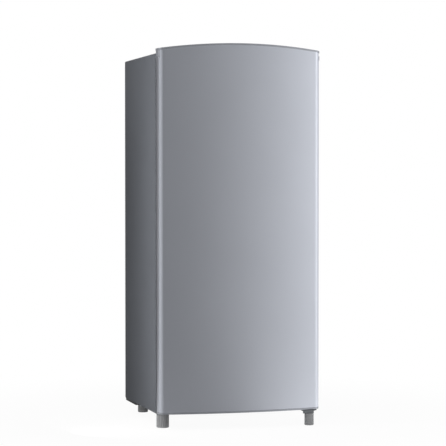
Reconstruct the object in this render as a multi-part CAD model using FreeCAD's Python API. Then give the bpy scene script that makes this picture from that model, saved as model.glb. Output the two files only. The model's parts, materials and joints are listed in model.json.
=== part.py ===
import FreeCAD, Part
import os
from math import cos, pi, radians, sin, sqrt, tan

# Single door refrigerator, millimetres, +Z up, front towards -Y.
# The origin is on the floor, under the middle of the whole object.
Vec = FreeCAD.Vector
# Lengths below this count as nothing when edges are picked
tiny = 1e-6

# Cabinet shell
cabinet_width = 520.0
cabinet_height = 1111.0
cabinet_depth = 425.0
floor_gap = 47.5
sheet = 0.8
cabinet_bend = 5.0
rim_flange = 22.0

# Insulated walls, from the outside to the inside of the food compartment
side_wall = 38.0
top_wall = 45.0
back_wall = 40.0
floor_wall = 50.0
step_wall = 38.0
liner_wall = 1.5
liner_corner = 16.0
liner_edge = 12.0

# Machine compartment at the lower back
machine_depth = 160.0
machine_height = 185.0

# Door
gasket_gap = 8.0
door_edge = 33.0
door_bow = 23.5
door_corner = 20.0
door_lift = 1.5
door_rise = 13.0
door_arch = 17.5
door_flange = 14.0
door_liner_wall = 1.5

# Top and bottom end caps of the door
cap_lip = 6.0
cap_proud = 1.5
cap_roof_back = 4.0
cap_apron = 3.0
cap_apron_height = 43.0
cap_block_width = 42.0
cap_ear_height = 29.0
cap_ear_width = 26.0
notch_depth = 3.0
base_cap = 6.0
base_apron = 25.0
hinge_boss_radius = 12.0
hinge_boss_height = 26.0

# Gasket with its magnet strips
gasket_side = 17.0
gasket_end = 8.0
gasket_width = 15.0
gasket_free = 0.3
gasket_round = 3.0
gasket_corner = 10.0
magnet_width = 6.0
magnet_depth = 4.0
magnet_end_gap = 1.0

# Raised dike on the door liner, and the ledges that carry the bins
dike_gap = 10.0
dike_width = 14.0
dike_height = 30.0
dike_round = 4.0
bin_ledge = 18.0
bin_ledge_height = 8.0
bin_ledge_depth = 24.0
peg_radius = 3.0
peg_height = 6.0
peg_clearance = 0.3
peg_wall = 3.0

# Door bins: floor heights, wall heights and reach into the compartment
bin_wall = 2.0
bin_end_gap = 1.0
bin_back_gap = 1.0
bin_reach = 85.0
bin_round = 5.0
bin_under = 4.0
bottle_bin_gap = 0.5
bottle_bin_height = 110.0
middle_bin_rise = 340.0
middle_bin_height = 75.0
top_bin_drop = 289.5
top_bin_height = 62.0

# Egg tray in the top bin
egg_tray_height = 22.0
egg_tray_gap = 1.5
egg_tray_round = 8.0
egg_tray_under = 5.0
egg_pitch = 43.0
egg_columns = 4
egg_rows = 2
egg_cup_top = 17.5
egg_cup_bottom = 15.0
egg_cup_floor = 3.0

# Hinges
hinge_side = 15.0
hinge_back = 14.0
pin_radius = 4.0
pin_clearance = 0.05
bush_wall = 3.0
bush_length = 20.0
bush_flange = 1.2
bush_flange_wall = 5.0
pin_reach = 17.0
pin_head_radius = 6.0
pin_head = 2.0
hinge_plate = 3.0
tongue_half = 9.0
tongue_room = 0.5
tongue_swing = 15.0
upper_plate_width = 46.0
upper_plate_back = 78.0
upper_plate_front = 14.0
lower_plate_left = 58.0
lower_plate_right = 9.0
lower_plate_front = 50.0
lower_plate_back = 62.0
lower_plate_chamfer = 14.0
lower_plate_lip = 10.0
hinge_cover_height = 11.0
hinge_cover_wall = 1.5
hinge_cover_round = 5.0
hinge_cover_front = 8.0
screw_radius = 2.5
screw_length = 8.0
screw_head_radius = 4.5
screw_head = 2.5

# Feet
left_foot_radius = 19.5
left_foot_side = 29.0
left_foot_front = 31.0
foot_flutes = 22
foot_flute_radius = 1.6
foot_round = 2.0
foot_gap = 0.5
stud_radius = 5.0
stud_clearance = 0.05
stud_end_gap = 0.3
nut_plate = 4.0
nut_plate_width = 44.0
right_foot_radius = 14.5
right_foot_side = 36.0
right_foot_front = 42.0
rear_foot_radius = 16.5
rear_foot_side = 54.0
rear_foot_back = 24.0

# Compressor and its base
base_drop = 8.0
base_plate = 2.0
base_front_gap = 12.0
base_back_gap = 6.0
base_flange = 34.0
compressor_offset = 70.0
compressor_length = 180.0
compressor_width = 120.0
compressor_height = 128.0
compressor_round = 34.0
compressor_back_gap = 20.0
seam_proud = 4.0
seam_height = 5.0
carrier_length = 196.0
carrier_width = 112.0
carrier_plate = 3.0
carrier_inset = 14.0
grommet_radius = 11.0
grommet_height = 12.0
bolt_radius = 3.0
bolt_clearance = 0.2
bolt_head_radius = 6.0
bolt_head = 4.0
terminal_reach = 34.0
terminal_width = 62.0
terminal_height = 56.0
terminal_rise = 30.0
terminal_round = 5.0

# Refrigerant pipes and the condenser behind the back panel
condenser_standoff = 22.0
condenser_side = 64.0
condenser_bottom = 300.0
condenser_pitch = 52.0
condenser_runs = 16
condenser_tube = 2.5
condenser_lead = 30.0
condenser_return = 18.0
wire_radius = 0.75
wire_gap = 0.05
wire_count = 23
wire_overhang = 14.0
clip_width = 10.0
clip_height = 16.0
suction_radius = 4.0
suction_offset = 20.0
suction_standoff = 9.0
suction_level = 60.0
pipe_bend = 12.0
pipe_room = 0.3
discharge_offset = 30.0
drier_radius = 9.0
drier_length = 78.0
drier_neck = 9.0
capillary_radius = 1.25
capillary_drop = 14.0
capillary_bend = 8.0
gland_radius = 12.0
gland_bore = 4.0
gland_length = 9.0
gland_flange_radius = 16.0
gland_flange = 2.5
gland_side = 110.0
gland_rise = 26.0

# Melt water drain and its pan on the compressor
drain_radius = 6.0
drain_wall = 1.5
drain_side = 5.0
drain_standoff = 8.0
drain_end_gap = 8.0
drain_drop = 14.0
pan_length = 150.0
pan_width = 92.0
pan_height = 24.0
pan_wall = 2.0
pan_round = 8.0
pan_under = 6.0

# Freezer box with its frame and flap
freezer_height = 163.5
freezer_side_gap = 20.0
freezer_front = 124.0
freezer_back_gap = 13.0
freezer_ceiling_gap = 12.0
freezer_wall = 1.5
freezer_round = 10.0
hanger_radius = 7.0
hanger_inset = 34.0
frame_depth = 14.0
frame_side_gap = 3.0
frame_lap = 8.0
frame_round = 12.0
frame_edge = 3.0
flap_thick = 10.0
flap_gap = 4.0
flap_lap = 5.0
flap_play = 0.6
flap_round = 3.0
flap_pin_side = 26.0
flap_pin_radius = 2.5
flap_pin_length = 5.0
flap_pin_clearance = 0.05
flap_end = 5.0
flap_grip_reach = 9.0
flap_grip_wall = 4.0
flap_grip_height = 70.0
flap_grip_inset = 12.0
lug_wall = 4.5

# Chilled tray under the freezer box
tray_clearance = 48.0
tray_front = 106.0
tray_back_gap = 41.0
tray_wall = 2.0
tray_drop = 26.0
tray_rim = 2.5
tray_side_gap = 2.0
tray_play = 1.5
tray_round = 6.0
tray_under = 5.0
tray_front_rise = 18.0

# Glass shelves on ledges of the liner
ledge = 10.0
ledge_height = 9.0
ledge_front = 116.0
ledge_back_gap = 34.0
lower_shelf_rise = 29.5
middle_shelf_rise = 180.0
upper_shelf_drop = 62.0
glass = 4.0
glass_side_gap = 3.0
glass_front = 106.0
glass_back_gap = 20.0
trim_lap = 7.0
trim_front = 6.0
trim_under = 4.0
trim_over = 4.0
trim_stop = 12.0
trim_round = 2.5

# Crisper drawer
crisper_front = 102.0
crisper_back_gap = 3.0
crisper_side_gap = 16.0
crisper_height = 176.0
crisper_wall = 2.5
crisper_round = 18.0
crisper_under = 13.0
crisper_lip_reach = 9.0
crisper_lip_height = 16.0
crisper_lip_width = 150.0
crisper_rail = 4.0
crisper_rail_width = 14.0
crisper_rail_inset = 60.0
crisper_rail_front = 14.0

# Thermostat housing with lamp on the right wall
housing_front = 214.0
housing_depth = 92.0
housing_drop = 196.0
housing_height = 96.0
housing_reach = 36.0
housing_wall = 2.0
housing_round = 6.0
lamp_depth = 66.0
lamp_inset = 4.0
socket_radius = 13.0
socket_length = 14.0
bulb_radius = 11.0
bulb_length = 40.0
bulb_neck = 6.0
knob_radius = 20.0
knob_height = 9.0
knob_bore = 6.0
knob_bar_width = 10.0
knob_bar_height = 5.0
knob_gap = 0.4
knob_spindle = 8.0
thermostat_width = 44.0
knob_round = 1.5
button_clearance = 0.15
button_travel = 3.0
button_proud = 3.0

# Lamp switch, pushed by the door's dike
switch_drop = 113.5
switch_front = 36.0
switch_depth = 30.0
switch_height = 26.0
switch_reach = 24.0
plunger_radius = 3.5
plunger_clearance = 0.1
plunger_free = 0.3
plunger_hold = 14.0

# Places that follow from the sizes above
half = cabinet_width / 2
rear_reach = condenser_standoff + max(drier_radius, condenser_tube + wire_gap + 2 * wire_radius)
front_reach = gasket_gap + door_edge + door_bow
rim = front_reach - (front_reach + cabinet_depth + rear_reach) / 2
back = rim + cabinet_depth
base = floor_gap
top = floor_gap + cabinet_height
machine_front = back - machine_depth
machine_top = base + machine_height
inner_half = half - side_wall
inner_back = back - back_wall
inner_floor = base + floor_wall
inner_top = top - top_wall
step_front = machine_front - step_wall
step_top = machine_top + step_wall
door_back = rim - gasket_gap
door_front = door_back - door_edge
door_bottom = base + door_lift
door_shoulder = top + door_rise
door_crown = door_shoulder + door_arch
hinge_x = half - hinge_side
hinge_y = door_back - hinge_back
condenser_y = back + condenser_standoff
condenser_half_width = half - condenser_side
freezer_half_width = inner_half - freezer_side_gap
freezer_top = inner_top - freezer_ceiling_gap
freezer_bottom = freezer_top - freezer_height
tray_level = freezer_bottom - tray_clearance
housing_level = freezer_bottom - housing_drop
switch_level = inner_top - switch_drop
lower_shelf = step_top + lower_shelf_rise
middle_shelf = lower_shelf + middle_shelf_rise
upper_shelf = housing_level - upper_shelf_drop
shelf_levels = [lower_shelf, middle_shelf, upper_shelf]
spare_ledge_levels = [(lower_shelf + middle_shelf) / 2, (middle_shelf + upper_shelf) / 2]
crisper_half_width = inner_half - crisper_side_gap
far = cabinet_width + cabinet_height


def box(x0, x1, y0, y1, z0, z1):
    return Part.makeBox(x1 - x0, y1 - y0, z1 - z0, Vec(x0, y0, z0))


def rod(radius, start, end):
    return Part.makeCylinder(radius, (end - start).Length, start, end - start)


def post(radius, x, y, z0, z1):
    return rod(radius, Vec(x, y, z0), Vec(x, y, z1))


def mirrored(shape):
    return shape.mirror(Vec(0, 0, 0), Vec(1, 0, 0))


def soften(shape, radius, wanted):
    edges = [edge for edge in shape.Edges if wanted(edge.BoundBox)]
    return shape.makeFillet(radius, edges)


def runs_along(axis):
    # Picks edges that keep the other two coordinates
    others = [name for name in "XYZ" if name != axis]
    return lambda b: all(getattr(b, name + "Length") < tiny for name in others)


def at_height(z):
    return lambda b: b.ZLength < tiny and abs(b.ZMin - z) < tiny


def rounded_path(points, radii, closed):
    # Straight runs joined by tangent arcs; a radius of 0 keeps a sharp corner
    count = len(points)
    joins = []
    for i, corner in enumerate(points):
        radius = radii[i]
        inner = closed or 0 < i < count - 1
        if not inner or radius == 0:
            joins.append((corner, None, corner))
            continue
        before = (points[i - 1] - corner).normalize()
        after = (points[(i + 1) % count] - corner).normalize()
        half_turn = before.getAngle(after) / 2
        run = radius / tan(half_turn)
        middle = (before + after).normalize()
        nearest = corner + middle * (radius / sin(half_turn) - radius)
        joins.append((corner + before * run, nearest, corner + after * run))
    edges = []
    last = count if closed else count - 1
    for i in range(count):
        start, middle, end = joins[i]
        if middle is not None:
            edges.append(Part.Arc(start, middle, end).toShape())
        following = joins[(i + 1) % count][0]
        if i < last and (following - end).Length > tiny:
            edges.append(Part.LineSegment(end, following).toShape())
    return Part.Wire(Part.__sortEdges__(edges))


def tube(points, radius, bend):
    path = rounded_path(points, [bend] * len(points), False)
    ring = Part.Wire(Part.makeCircle(radius, points[0], points[1] - points[0]))
    return path.makePipeShell([ring], True, False)


def plate(points, radii, direction):
    return Part.Face(rounded_path(points, radii, True)).extrude(direction)


def rounded_block(x0, x1, y0, y1, z0, z1, radius, under):
    # A block with rounded upright edges and a rounded underside
    block = soften(box(x0, x1, y0, y1, z0, z1), radius, runs_along("Z"))
    return soften(block, under, at_height(z0))


def open_box(outer, wall, radius, under):
    # A tray with walls all round, a floor and no lid; outer holds the six limits
    x0, x1, y0, y1, z0, z1 = outer
    hollow = (x0 + wall, x1 - wall, y0 + wall, y1 - wall, z0 + wall, z1 + wall)
    shell = rounded_block(*outer, radius, under)
    return shell.cut(rounded_block(*hollow, radius - wall, under - wall))


# Cabinet

def cabinet_block(inset, y0, y1, z0):
    # The cabinet's outside, or its outline moved in, with the bent top edges
    block = box(inset - half, half - inset, y0, y1, z0, top - inset)
    bends = lambda b: runs_along("Y")(b) and b.ZMin > top - inset - tiny
    return soften(block, cabinet_bend - inset, bends)


def cabinet_wrap():
    shell = cabinet_block(0, rim, back, base).cut(cabinet_block(sheet, rim - far, back + far, base - far))
    flange = cabinet_block(sheet, rim, rim + sheet, base)
    window = box(rim_flange - half, half - rim_flange, rim - far, rim + far, base - far, top - rim_flange)
    return shell.fuse(flange.cut(window)).cut(screw_holes()).removeSplitter()


def bottom_pan():
    floor = box(sheet - half, half - sheet, rim + sheet, machine_front - sheet, base, base + sheet)
    lip = box(rim_flange - half, half - rim_flange, rim, rim + sheet, base, base + rim_flange)
    return floor.fuse(lip).cut(screw_holes()).removeSplitter()


def machine_shroud():
    wall = box(sheet - half, half - sheet, machine_front - sheet, machine_front, base, machine_top + sheet)
    ceiling = box(sheet - half, half - sheet, machine_front, back, machine_top, machine_top + sheet)
    return wall.fuse(ceiling).removeSplitter()


def back_panel():
    panel = cabinet_block(sheet, back - sheet, back, machine_top + sheet)
    return panel.cut(suction_hole()).cut(drain_hole())


def liner_block(grow):
    # The food compartment as a solid, grown by the liner's wall for its outside
    reach = rim - far if grow == 0 else rim
    side = [
        Vec(-inner_half - grow, reach, inner_floor - grow),
        Vec(-inner_half - grow, step_front + grow, inner_floor - grow),
        Vec(-inner_half - grow, step_front + grow, step_top - grow),
        Vec(-inner_half - grow, inner_back + grow, step_top - grow),
        Vec(-inner_half - grow, inner_back + grow, inner_top + grow),
        Vec(-inner_half - grow, reach, inner_top + grow),
    ]
    outside = liner_corner + grow
    radii = [0, outside, liner_corner - grow, outside, outside, 0]
    block = plate(side, radii, Vec(2 * (inner_half + grow), 0, 0))
    end = inner_half + grow
    on_side = lambda b: b.XLength < tiny and abs(abs(b.XMin) - end) < tiny and b.YMax > reach + tiny
    return soften(block, liner_edge + grow, on_side)


def liner_envelope():
    z0 = base + rim_flange
    flange = box(rim_flange - half, half - rim_flange, rim, rim + liner_wall, z0, top - rim_flange)
    return liner_block(liner_wall).fuse(flange)


def inner_liner():
    liner = liner_envelope().cut(liner_block(0))
    root = liner_wall / 2
    ledges = []
    for level in shelf_levels + spare_ledge_levels + [tray_level]:
        y0 = rim + ledge_front
        y1 = inner_back - ledge_back_gap
        shape = box(inner_half - ledge, inner_half + root, y0, y1, level - ledge_height, level)
        under = lambda b: runs_along("Y")(b) and b.XMax < inner_half and b.ZMax < level - tiny
        ledges.append(soften(shape, ledge_height / 2, under))
        ledges.append(mirrored(ledges[-1]))
    for side in (-1, 1):
        x = side * (crisper_half_width - crisper_rail_inset)
        w = crisper_rail_width / 2
        y0 = rim + crisper_rail_front
        y1 = step_front - liner_corner
        ledges.append(box(x - w, x + w, y0, y1, inner_floor - root, inner_floor + crisper_rail))
    return liner.fuse(ledges).cut(suction_hole()).cut(drain_hole()).removeSplitter()


def cabinet_foam():
    block = cabinet_block(sheet, rim + sheet, back - sheet, base + sheet)
    machine = box(-half, half, machine_front - sheet, back, base, machine_top + sheet)
    block = block.cut(machine).cut(liner_envelope()).cut(screw_holes())
    return block.cut(suction_hole()).cut(drain_hole())


# Door

bow_radius = (half ** 2 + door_bow ** 2) / (2 * door_bow)
bow_centre = door_front - door_bow + bow_radius
arch_radius = (half ** 2 + door_arch ** 2) / (2 * door_arch)
arch_centre = door_crown - arch_radius


def door_outline(inset, rear, proud):
    # Plan of the door: flat back, straight sides, bowed front and rounded front corners
    width = half + proud - inset
    bow = bow_radius - inset
    corner = door_corner - inset
    cx = width - corner
    cy = bow_centre - sqrt((bow - corner) ** 2 - cx ** 2)
    out = Vec(cx, cy - bow_centre, 0).normalize()
    meet = Vec(0, bow_centre, 0) + out * bow
    turn = Vec(cx, cy, 0) + (out + Vec(1, 0, 0)).normalize() * corner
    flip = lambda p: Vec(-p.x, p.y, 0)
    side = Vec(width, cy, 0)
    heel = Vec(width, rear, 0)
    return Part.Wire([
        Part.LineSegment(flip(heel), heel).toShape(),
        Part.LineSegment(heel, side).toShape(),
        Part.Arc(side, turn, meet).toShape(),
        Part.Arc(meet, Vec(0, bow_centre - bow, 0), flip(meet)).toShape(),
        Part.Arc(flip(meet), flip(turn), flip(side)).toShape(),
        Part.LineSegment(flip(side), flip(heel)).toShape(),
    ])


def under_arch(lower):
    # Everything under the crowned top line, moved down by the given amount
    reach = half + door_corner
    shoulder = arch_centre + sqrt(arch_radius ** 2 - reach ** 2) - lower
    y = door_front - far
    left = Vec(-reach, y, shoulder)
    right = Vec(reach, y, shoulder)
    edges = [
        Part.Arc(left, Vec(0, y, door_crown - lower), right).toShape(),
        Part.LineSegment(right, Vec(reach, y, 0)).toShape(),
        Part.LineSegment(Vec(reach, y, 0), Vec(-reach, y, 0)).toShape(),
        Part.LineSegment(Vec(-reach, y, 0), left).toShape(),
    ]
    return Part.Face(Part.Wire(edges)).extrude(Vec(0, 2 * far, 0))


def door_block(inset, rear, z0, lower, proud=0.0):
    foot = Part.Face(door_outline(inset, rear, proud))
    foot.translate(Vec(0, 0, z0))
    return foot.extrude(Vec(0, 0, door_crown + far - z0)).common(under_arch(lower))


apron_bottom = door_shoulder - cap_apron_height
ear_bottom = door_shoulder - cap_ear_height
notch_floor = top - notch_depth
notch_front = hinge_y - tongue_half - tongue_room - sin(radians(tongue_swing)) * hinge_side
base_top = door_bottom + base_cap
window_half = half - door_flange


def ear_space():
    # The rear upper corner where the cap stands in for the sheet
    return box(half - cap_ear_width, half + far, notch_front, rim, ear_bottom, door_crown)


def door_skin():
    outer = door_block(0, door_back, base_top, cap_lip)
    inner = door_block(sheet, door_back - sheet, base_top - far, cap_lip - far)
    window = box(-window_half, window_half, door_back - 2 * sheet, rim, 0, door_crown)
    skin = outer.cut(inner).cut(window)
    return skin.cut(ear_space()).cut(mirrored(ear_space()))


def door_foam():
    core = door_block(sheet, door_back - sheet, base_top, cap_lip)
    corner = box(half - cap_block_width, half, door_front - door_bow, rim, apron_bottom, door_crown)
    top_apron = box(-window_half, window_half, door_back - cap_apron, rim, apron_bottom, door_crown)
    low_apron = box(-window_half, window_half, door_back - cap_apron, rim, door_bottom, base_top + base_apron)
    boss = post(hinge_boss_radius, hinge_x, hinge_y, door_bottom, door_bottom + hinge_boss_height)
    core = core.cut(corner).cut(mirrored(corner)).cut(top_apron).cut(low_apron)
    return core.cut(boss).cut(mirrored(boss)).cut(liner_sheet())


def liner_sheet():
    z0 = base_top + base_apron
    return box(-window_half, window_half, door_back - door_liner_wall, door_back, z0, apron_bottom)


dike_half = inner_half - dike_gap
dike_top = inner_top - dike_gap
dike_bottom = inner_floor + dike_gap
dike_inner = dike_half - dike_width
dike_rear = door_back + dike_height


def dike(inset):
    # The raised ring on the door's inside; moved in by the sheet for the foam that fills it
    w = dike_half - inset
    n = dike_inner + inset
    y0 = door_back - door_liner_wall
    y1 = dike_rear - inset
    outer = box(-w, w, y0, y1, dike_bottom + inset, dike_top - inset)
    low = dike_bottom + dike_width - inset
    ring = outer.cut(box(-n, n, y0 - far, y1 + far, low, dike_top - dike_width + inset))
    on_rear = lambda b: b.YLength < tiny and abs(b.YMin - y1) < tiny
    return soften(ring, dike_round - inset, on_rear)


def dike_foam():
    return dike(door_liner_wall)


bottle_bin_level = dike_bottom + dike_width + bin_ledge_height + bottle_bin_gap
middle_bin_level = bottle_bin_level + middle_bin_rise
top_bin_level = dike_top - dike_width - top_bin_drop
bins = {
    "bottle_bin": (bottle_bin_level, bottle_bin_height),
    "middle_bin": (middle_bin_level, middle_bin_height),
    "top_bin": (top_bin_level, top_bin_height),
}
peg_x = dike_inner - bin_ledge / 2
peg_y = door_back + bin_ledge_depth / 2


def door_liner():
    liner = liner_sheet().fuse(dike(0))
    for level, _ in bins.values():
        x0 = dike_inner - bin_ledge
        y1 = door_back + bin_ledge_depth
        carrier = box(x0, dike_inner, door_back, y1, level - bin_ledge_height, level)
        carrier = carrier.fuse(post(peg_radius, peg_x, peg_y, level, level + peg_height))
        liner = liner.fuse([carrier, mirrored(carrier)])
    return liner.cut(dike(door_liner_wall)).removeSplitter()


def hinge_hole(z0, z1):
    return post(pin_radius + pin_clearance + bush_wall, hinge_x, hinge_y, z0, z1)


def door_top_cap():
    slab = door_block(0, rim - cap_roof_back, door_bottom, 0, cap_proud).cut(under_arch(cap_lip))
    apron = box(-window_half, window_half, door_back - cap_apron, door_back, apron_bottom, door_crown)
    apron = apron.common(under_arch(cap_lip))
    corner = box(half - cap_block_width, half, door_front - door_bow, rim, apron_bottom, door_crown)
    block = door_block(sheet, door_back - sheet, apron_bottom, cap_lip).common(corner)
    ear = door_block(0, door_back, ear_bottom, cap_lip, cap_proud).common(ear_space())
    side = block.fuse(ear)
    notch_left = hinge_x - tongue_half - tongue_room
    notch = box(notch_left, half + far, notch_front, rim + far, notch_floor, door_crown)
    right = side.cut(notch).cut(hinge_hole(notch_floor - bush_length, notch_floor))
    return slab.fuse([apron.cut(notch), right, mirrored(side)]).removeSplitter()


def door_bottom_cap():
    slab = door_block(0, door_back, door_bottom, 0).common(box(-far, far, -far, far, door_bottom, base_top))
    apron = box(-window_half, window_half, door_back - cap_apron, door_back, base_top, base_top + base_apron)
    boss = post(hinge_boss_radius, hinge_x, hinge_y, door_bottom, door_bottom + hinge_boss_height)
    room = door_block(sheet, door_back - sheet, door_bottom, 0)
    boss = boss.common(room)
    cap = slab.fuse([apron, boss, mirrored(boss)])
    return cap.cut(hinge_hole(door_bottom, door_bottom + bush_length)).removeSplitter()


def bush(seat, upwards):
    # A flanged plain bearing: the flange lies on the seat, the sleeve goes into the cap
    bore = pin_radius + pin_clearance
    sleeve_end = seat + bush_length * upwards
    flange_end = seat - bush_flange * upwards
    low, high = sorted((seat, sleeve_end))
    sleeve = post(bore + bush_wall, hinge_x, hinge_y, low, high)
    low, high = sorted((seat, flange_end))
    flange = post(bore + bush_flange_wall, hinge_x, hinge_y, low, high)
    low, high = sorted((flange_end, sleeve_end))
    return sleeve.fuse(flange).cut(post(bore, hinge_x, hinge_y, low, high)).removeSplitter()


def hinge_bushes():
    return Part.makeCompound([bush(notch_floor, -1), bush(door_bottom, 1)])


gasket_half = half - gasket_side
gasket_low = base + gasket_end
gasket_high = top - gasket_end
gasket_rear = rim - gasket_free


def gasket_ring(inset, width, y0, y1, radius):
    x = gasket_half - inset
    z0 = gasket_low + inset
    z1 = gasket_high - inset
    outer = soften(box(-x, x, y0, y1, z0, z1), radius, runs_along("Y"))
    inner = box(width - x, x - width, y0, y1, z0 + width, z1 - width)
    return outer.cut(inner)


def door_gasket():
    ring = gasket_ring(0, gasket_width, door_back, gasket_rear, gasket_corner)
    on_rear = lambda b: b.YLength < tiny and abs(b.YMin - gasket_rear) < tiny
    ring = soften(ring, gasket_round, on_rear)
    return ring.cut(magnet_channel())


def magnet_channel():
    inset = (gasket_width - magnet_width) / 2
    x = gasket_half - inset
    y1 = door_back + magnet_depth
    outer = box(-x, x, door_back, y1, gasket_low + inset, gasket_high - inset)
    w = magnet_width
    hole = box(w - x, x - w, door_back, y1, gasket_low + inset + w, gasket_high - inset - w)
    return outer.cut(hole)


def gasket_magnets():
    inset = (gasket_width - magnet_width) / 2
    x = gasket_half - inset
    y1 = door_back + magnet_depth
    z0 = gasket_low + inset
    z1 = gasket_high - inset
    w = magnet_width
    gap = w + magnet_end_gap
    upright = box(x - w, x, door_back, y1, z0 + gap, z1 - gap)
    low = box(-x, x, door_back, y1, z0, z0 + w)
    high = box(-x, x, door_back, y1, z1 - w, z1)
    return Part.makeCompound([upright, mirrored(upright), low, high])


def door_bin(level, height):
    x = dike_inner - bin_end_gap
    y0 = door_back + bin_back_gap
    tray = open_box((-x, x, y0, rim + bin_reach, level, level + height), bin_wall, bin_round, bin_under)
    socket = peg_radius + peg_clearance
    lid = level + peg_height + peg_clearance
    for side in (-1, 1):
        boss = post(socket + peg_wall, side * peg_x, peg_y, level, lid + bin_wall)
        boss = boss.common(box(-x, x, y0, rim, level, level + height))
        tray = tray.fuse(boss).cut(post(socket, side * peg_x, peg_y, level, lid))
    return tray.removeSplitter()


def egg_tray():
    level = top_bin_level + bin_wall
    length = egg_columns * egg_pitch
    x0 = -length / 2
    y0 = rim + bin_reach - bin_wall - egg_tray_gap - egg_rows * egg_pitch
    y1 = y0 + egg_rows * egg_pitch
    z1 = level + egg_tray_height
    tray = rounded_block(x0, -x0, y0, y1, level, z1, egg_tray_round, egg_tray_under)
    depth = egg_tray_height - egg_cup_floor
    for column in range(egg_columns):
        for row in range(egg_rows):
            x = x0 + egg_pitch * (column + 0.5)
            y = y0 + egg_pitch * (row + 0.5)
            low = Vec(x, y, level + egg_cup_floor)
            tray = tray.cut(Part.makeCone(egg_cup_bottom, egg_cup_top, depth, low))
    return tray


# Hinges

def upper_hinge_bracket():
    plate_right = half - cabinet_bend
    plate_left = plate_right - upper_plate_width
    z1 = top + hinge_plate
    body = box(plate_left, plate_right, rim + upper_plate_front, rim + upper_plate_back, top, z1)
    tongue = box(hinge_x - tongue_half, hinge_x + tongue_half, hinge_y, rim + upper_plate_front, top, z1)
    tip = post(tongue_half, hinge_x, hinge_y, top, z1)
    bracket = body.fuse([tongue, tip]).removeSplitter()
    for x, y in upper_screw_places():
        bracket = bracket.cut(post(screw_radius, x, y, top, z1))
    return bracket.cut(post(pin_radius, hinge_x, hinge_y, top, z1))


def upper_screw_places():
    middle = half - cabinet_bend - upper_plate_width / 2
    y0 = rim + upper_plate_front
    step = (upper_plate_back - upper_plate_front) / 4
    spread = upper_plate_width / 4
    return [(middle - spread, y0 + step), (middle + spread, y0 + step), (middle, y0 + 3 * step)]


def upper_hinge_pin():
    shank = post(pin_radius, hinge_x, hinge_y, notch_floor - pin_reach, top + hinge_plate)
    head = post(pin_head_radius, hinge_x, hinge_y, top + hinge_plate, top + hinge_plate + pin_head)
    return shank.fuse(head).removeSplitter()


def lower_hinge_bracket():
    x0 = half - lower_plate_left
    x1 = half - lower_plate_right
    y0 = rim - lower_plate_front
    y1 = rim + lower_plate_back
    cut = lower_plate_chamfer
    z0 = base - hinge_plate
    outline = [(x0, y0), (x1 - cut, y0), (x1, y0 + cut), (x1, y1), (x0, y1)]
    points = [Vec(x, y, z0) for x, y in outline]
    bracket = plate(points, [0] * len(points), Vec(0, 0, hinge_plate))
    lip = box(x0, x1 - cut, y0, y0 + hinge_plate, base - lower_plate_lip, z0)
    bracket = bracket.fuse(lip).removeSplitter()
    for x, y in lower_screw_places():
        bracket = bracket.cut(post(screw_radius, x, y, z0, base))
    bracket = bracket.cut(post(pin_radius, hinge_x, hinge_y, z0, base))
    return bracket.cut(post(stud_radius + stud_clearance, right_foot_x, right_foot_y, z0, base))


def lower_screw_places():
    x0 = half - lower_plate_left
    x1 = half - lower_plate_right
    step = (x1 - x0) / 4
    y = rim + lower_plate_back
    return [(x0 + step, y - step), (x1 - step, y - step), (x0 + 2 * step, y - 3 * step)]


def lower_hinge_pin():
    shank = post(pin_radius, hinge_x, hinge_y, base - hinge_plate, door_bottom + pin_reach)
    head = post(pin_head_radius, hinge_x, hinge_y, base - hinge_plate - pin_head, base - hinge_plate)
    return shank.fuse(head).removeSplitter()


def screw(x, y, seat, upwards):
    # Head on the seat, shank through the bracket into the cabinet
    tip = Vec(x, y, seat + screw_length * upwards)
    head = rod(screw_head_radius, Vec(x, y, seat), Vec(x, y, seat - screw_head * upwards))
    return rod(screw_radius, Vec(x, y, seat), tip).fuse(head).removeSplitter()


def hinge_screws():
    upper = [screw(x, y, top + hinge_plate, -1) for x, y in upper_screw_places()]
    lower = [screw(x, y, base - hinge_plate, 1) for x, y in lower_screw_places()]
    return Part.makeCompound(upper + lower)


def screw_holes():
    bite = screw_length - hinge_plate
    upper = [post(screw_radius, x, y, top - bite, top) for x, y in upper_screw_places()]
    lower = [post(screw_radius, x, y, base, base + bite) for x, y in lower_screw_places()]
    return upper + lower


def hinge_cover():
    wall = hinge_cover_wall
    x1 = half - cabinet_bend + wall
    x0 = x1 - upper_plate_width - 2 * wall
    y0 = rim + hinge_cover_front
    y1 = rim + upper_plate_back + wall
    z1 = top + hinge_cover_height
    shell = soften(box(x0, x1, y0, y1, top, z1), hinge_cover_round, lambda b: b.ZMax > top + tiny)
    hollow = box(x0 + wall, x1 - wall, y0 + wall, y1 - wall, top, z1 - wall)
    slot_left = hinge_x - tongue_half
    slot = box(slot_left, hinge_x + tongue_half, y0, y0 + wall, top, top + hinge_plate)
    return shell.cut(hollow).cut(slot)


# Feet

left_foot_x = left_foot_side - half
left_foot_y = rim + left_foot_front
right_foot_x = half - right_foot_side
right_foot_y = rim - right_foot_front
rear_foot_x = half - rear_foot_side
rear_foot_y = back - rear_foot_back


def foot_disc(radius, x, y, height):
    disc = post(radius, x, y, 0, height)
    return soften(disc, foot_round, lambda b: b.ZLength < tiny)


def front_left_foot():
    height = base - nut_plate - foot_gap
    foot = foot_disc(left_foot_radius, left_foot_x, left_foot_y, height)
    grooves = []
    for i in range(foot_flutes):
        turn = 2 * pi * i / foot_flutes
        x = left_foot_x + left_foot_radius * cos(turn)
        y = left_foot_y + left_foot_radius * sin(turn)
        grooves.append(post(foot_flute_radius, x, y, 2 * foot_round, height))
    foot = foot.cut(grooves)
    stud = post(stud_radius, left_foot_x, left_foot_y, height, base - stud_end_gap)
    return foot.fuse(stud).removeSplitter()


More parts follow.
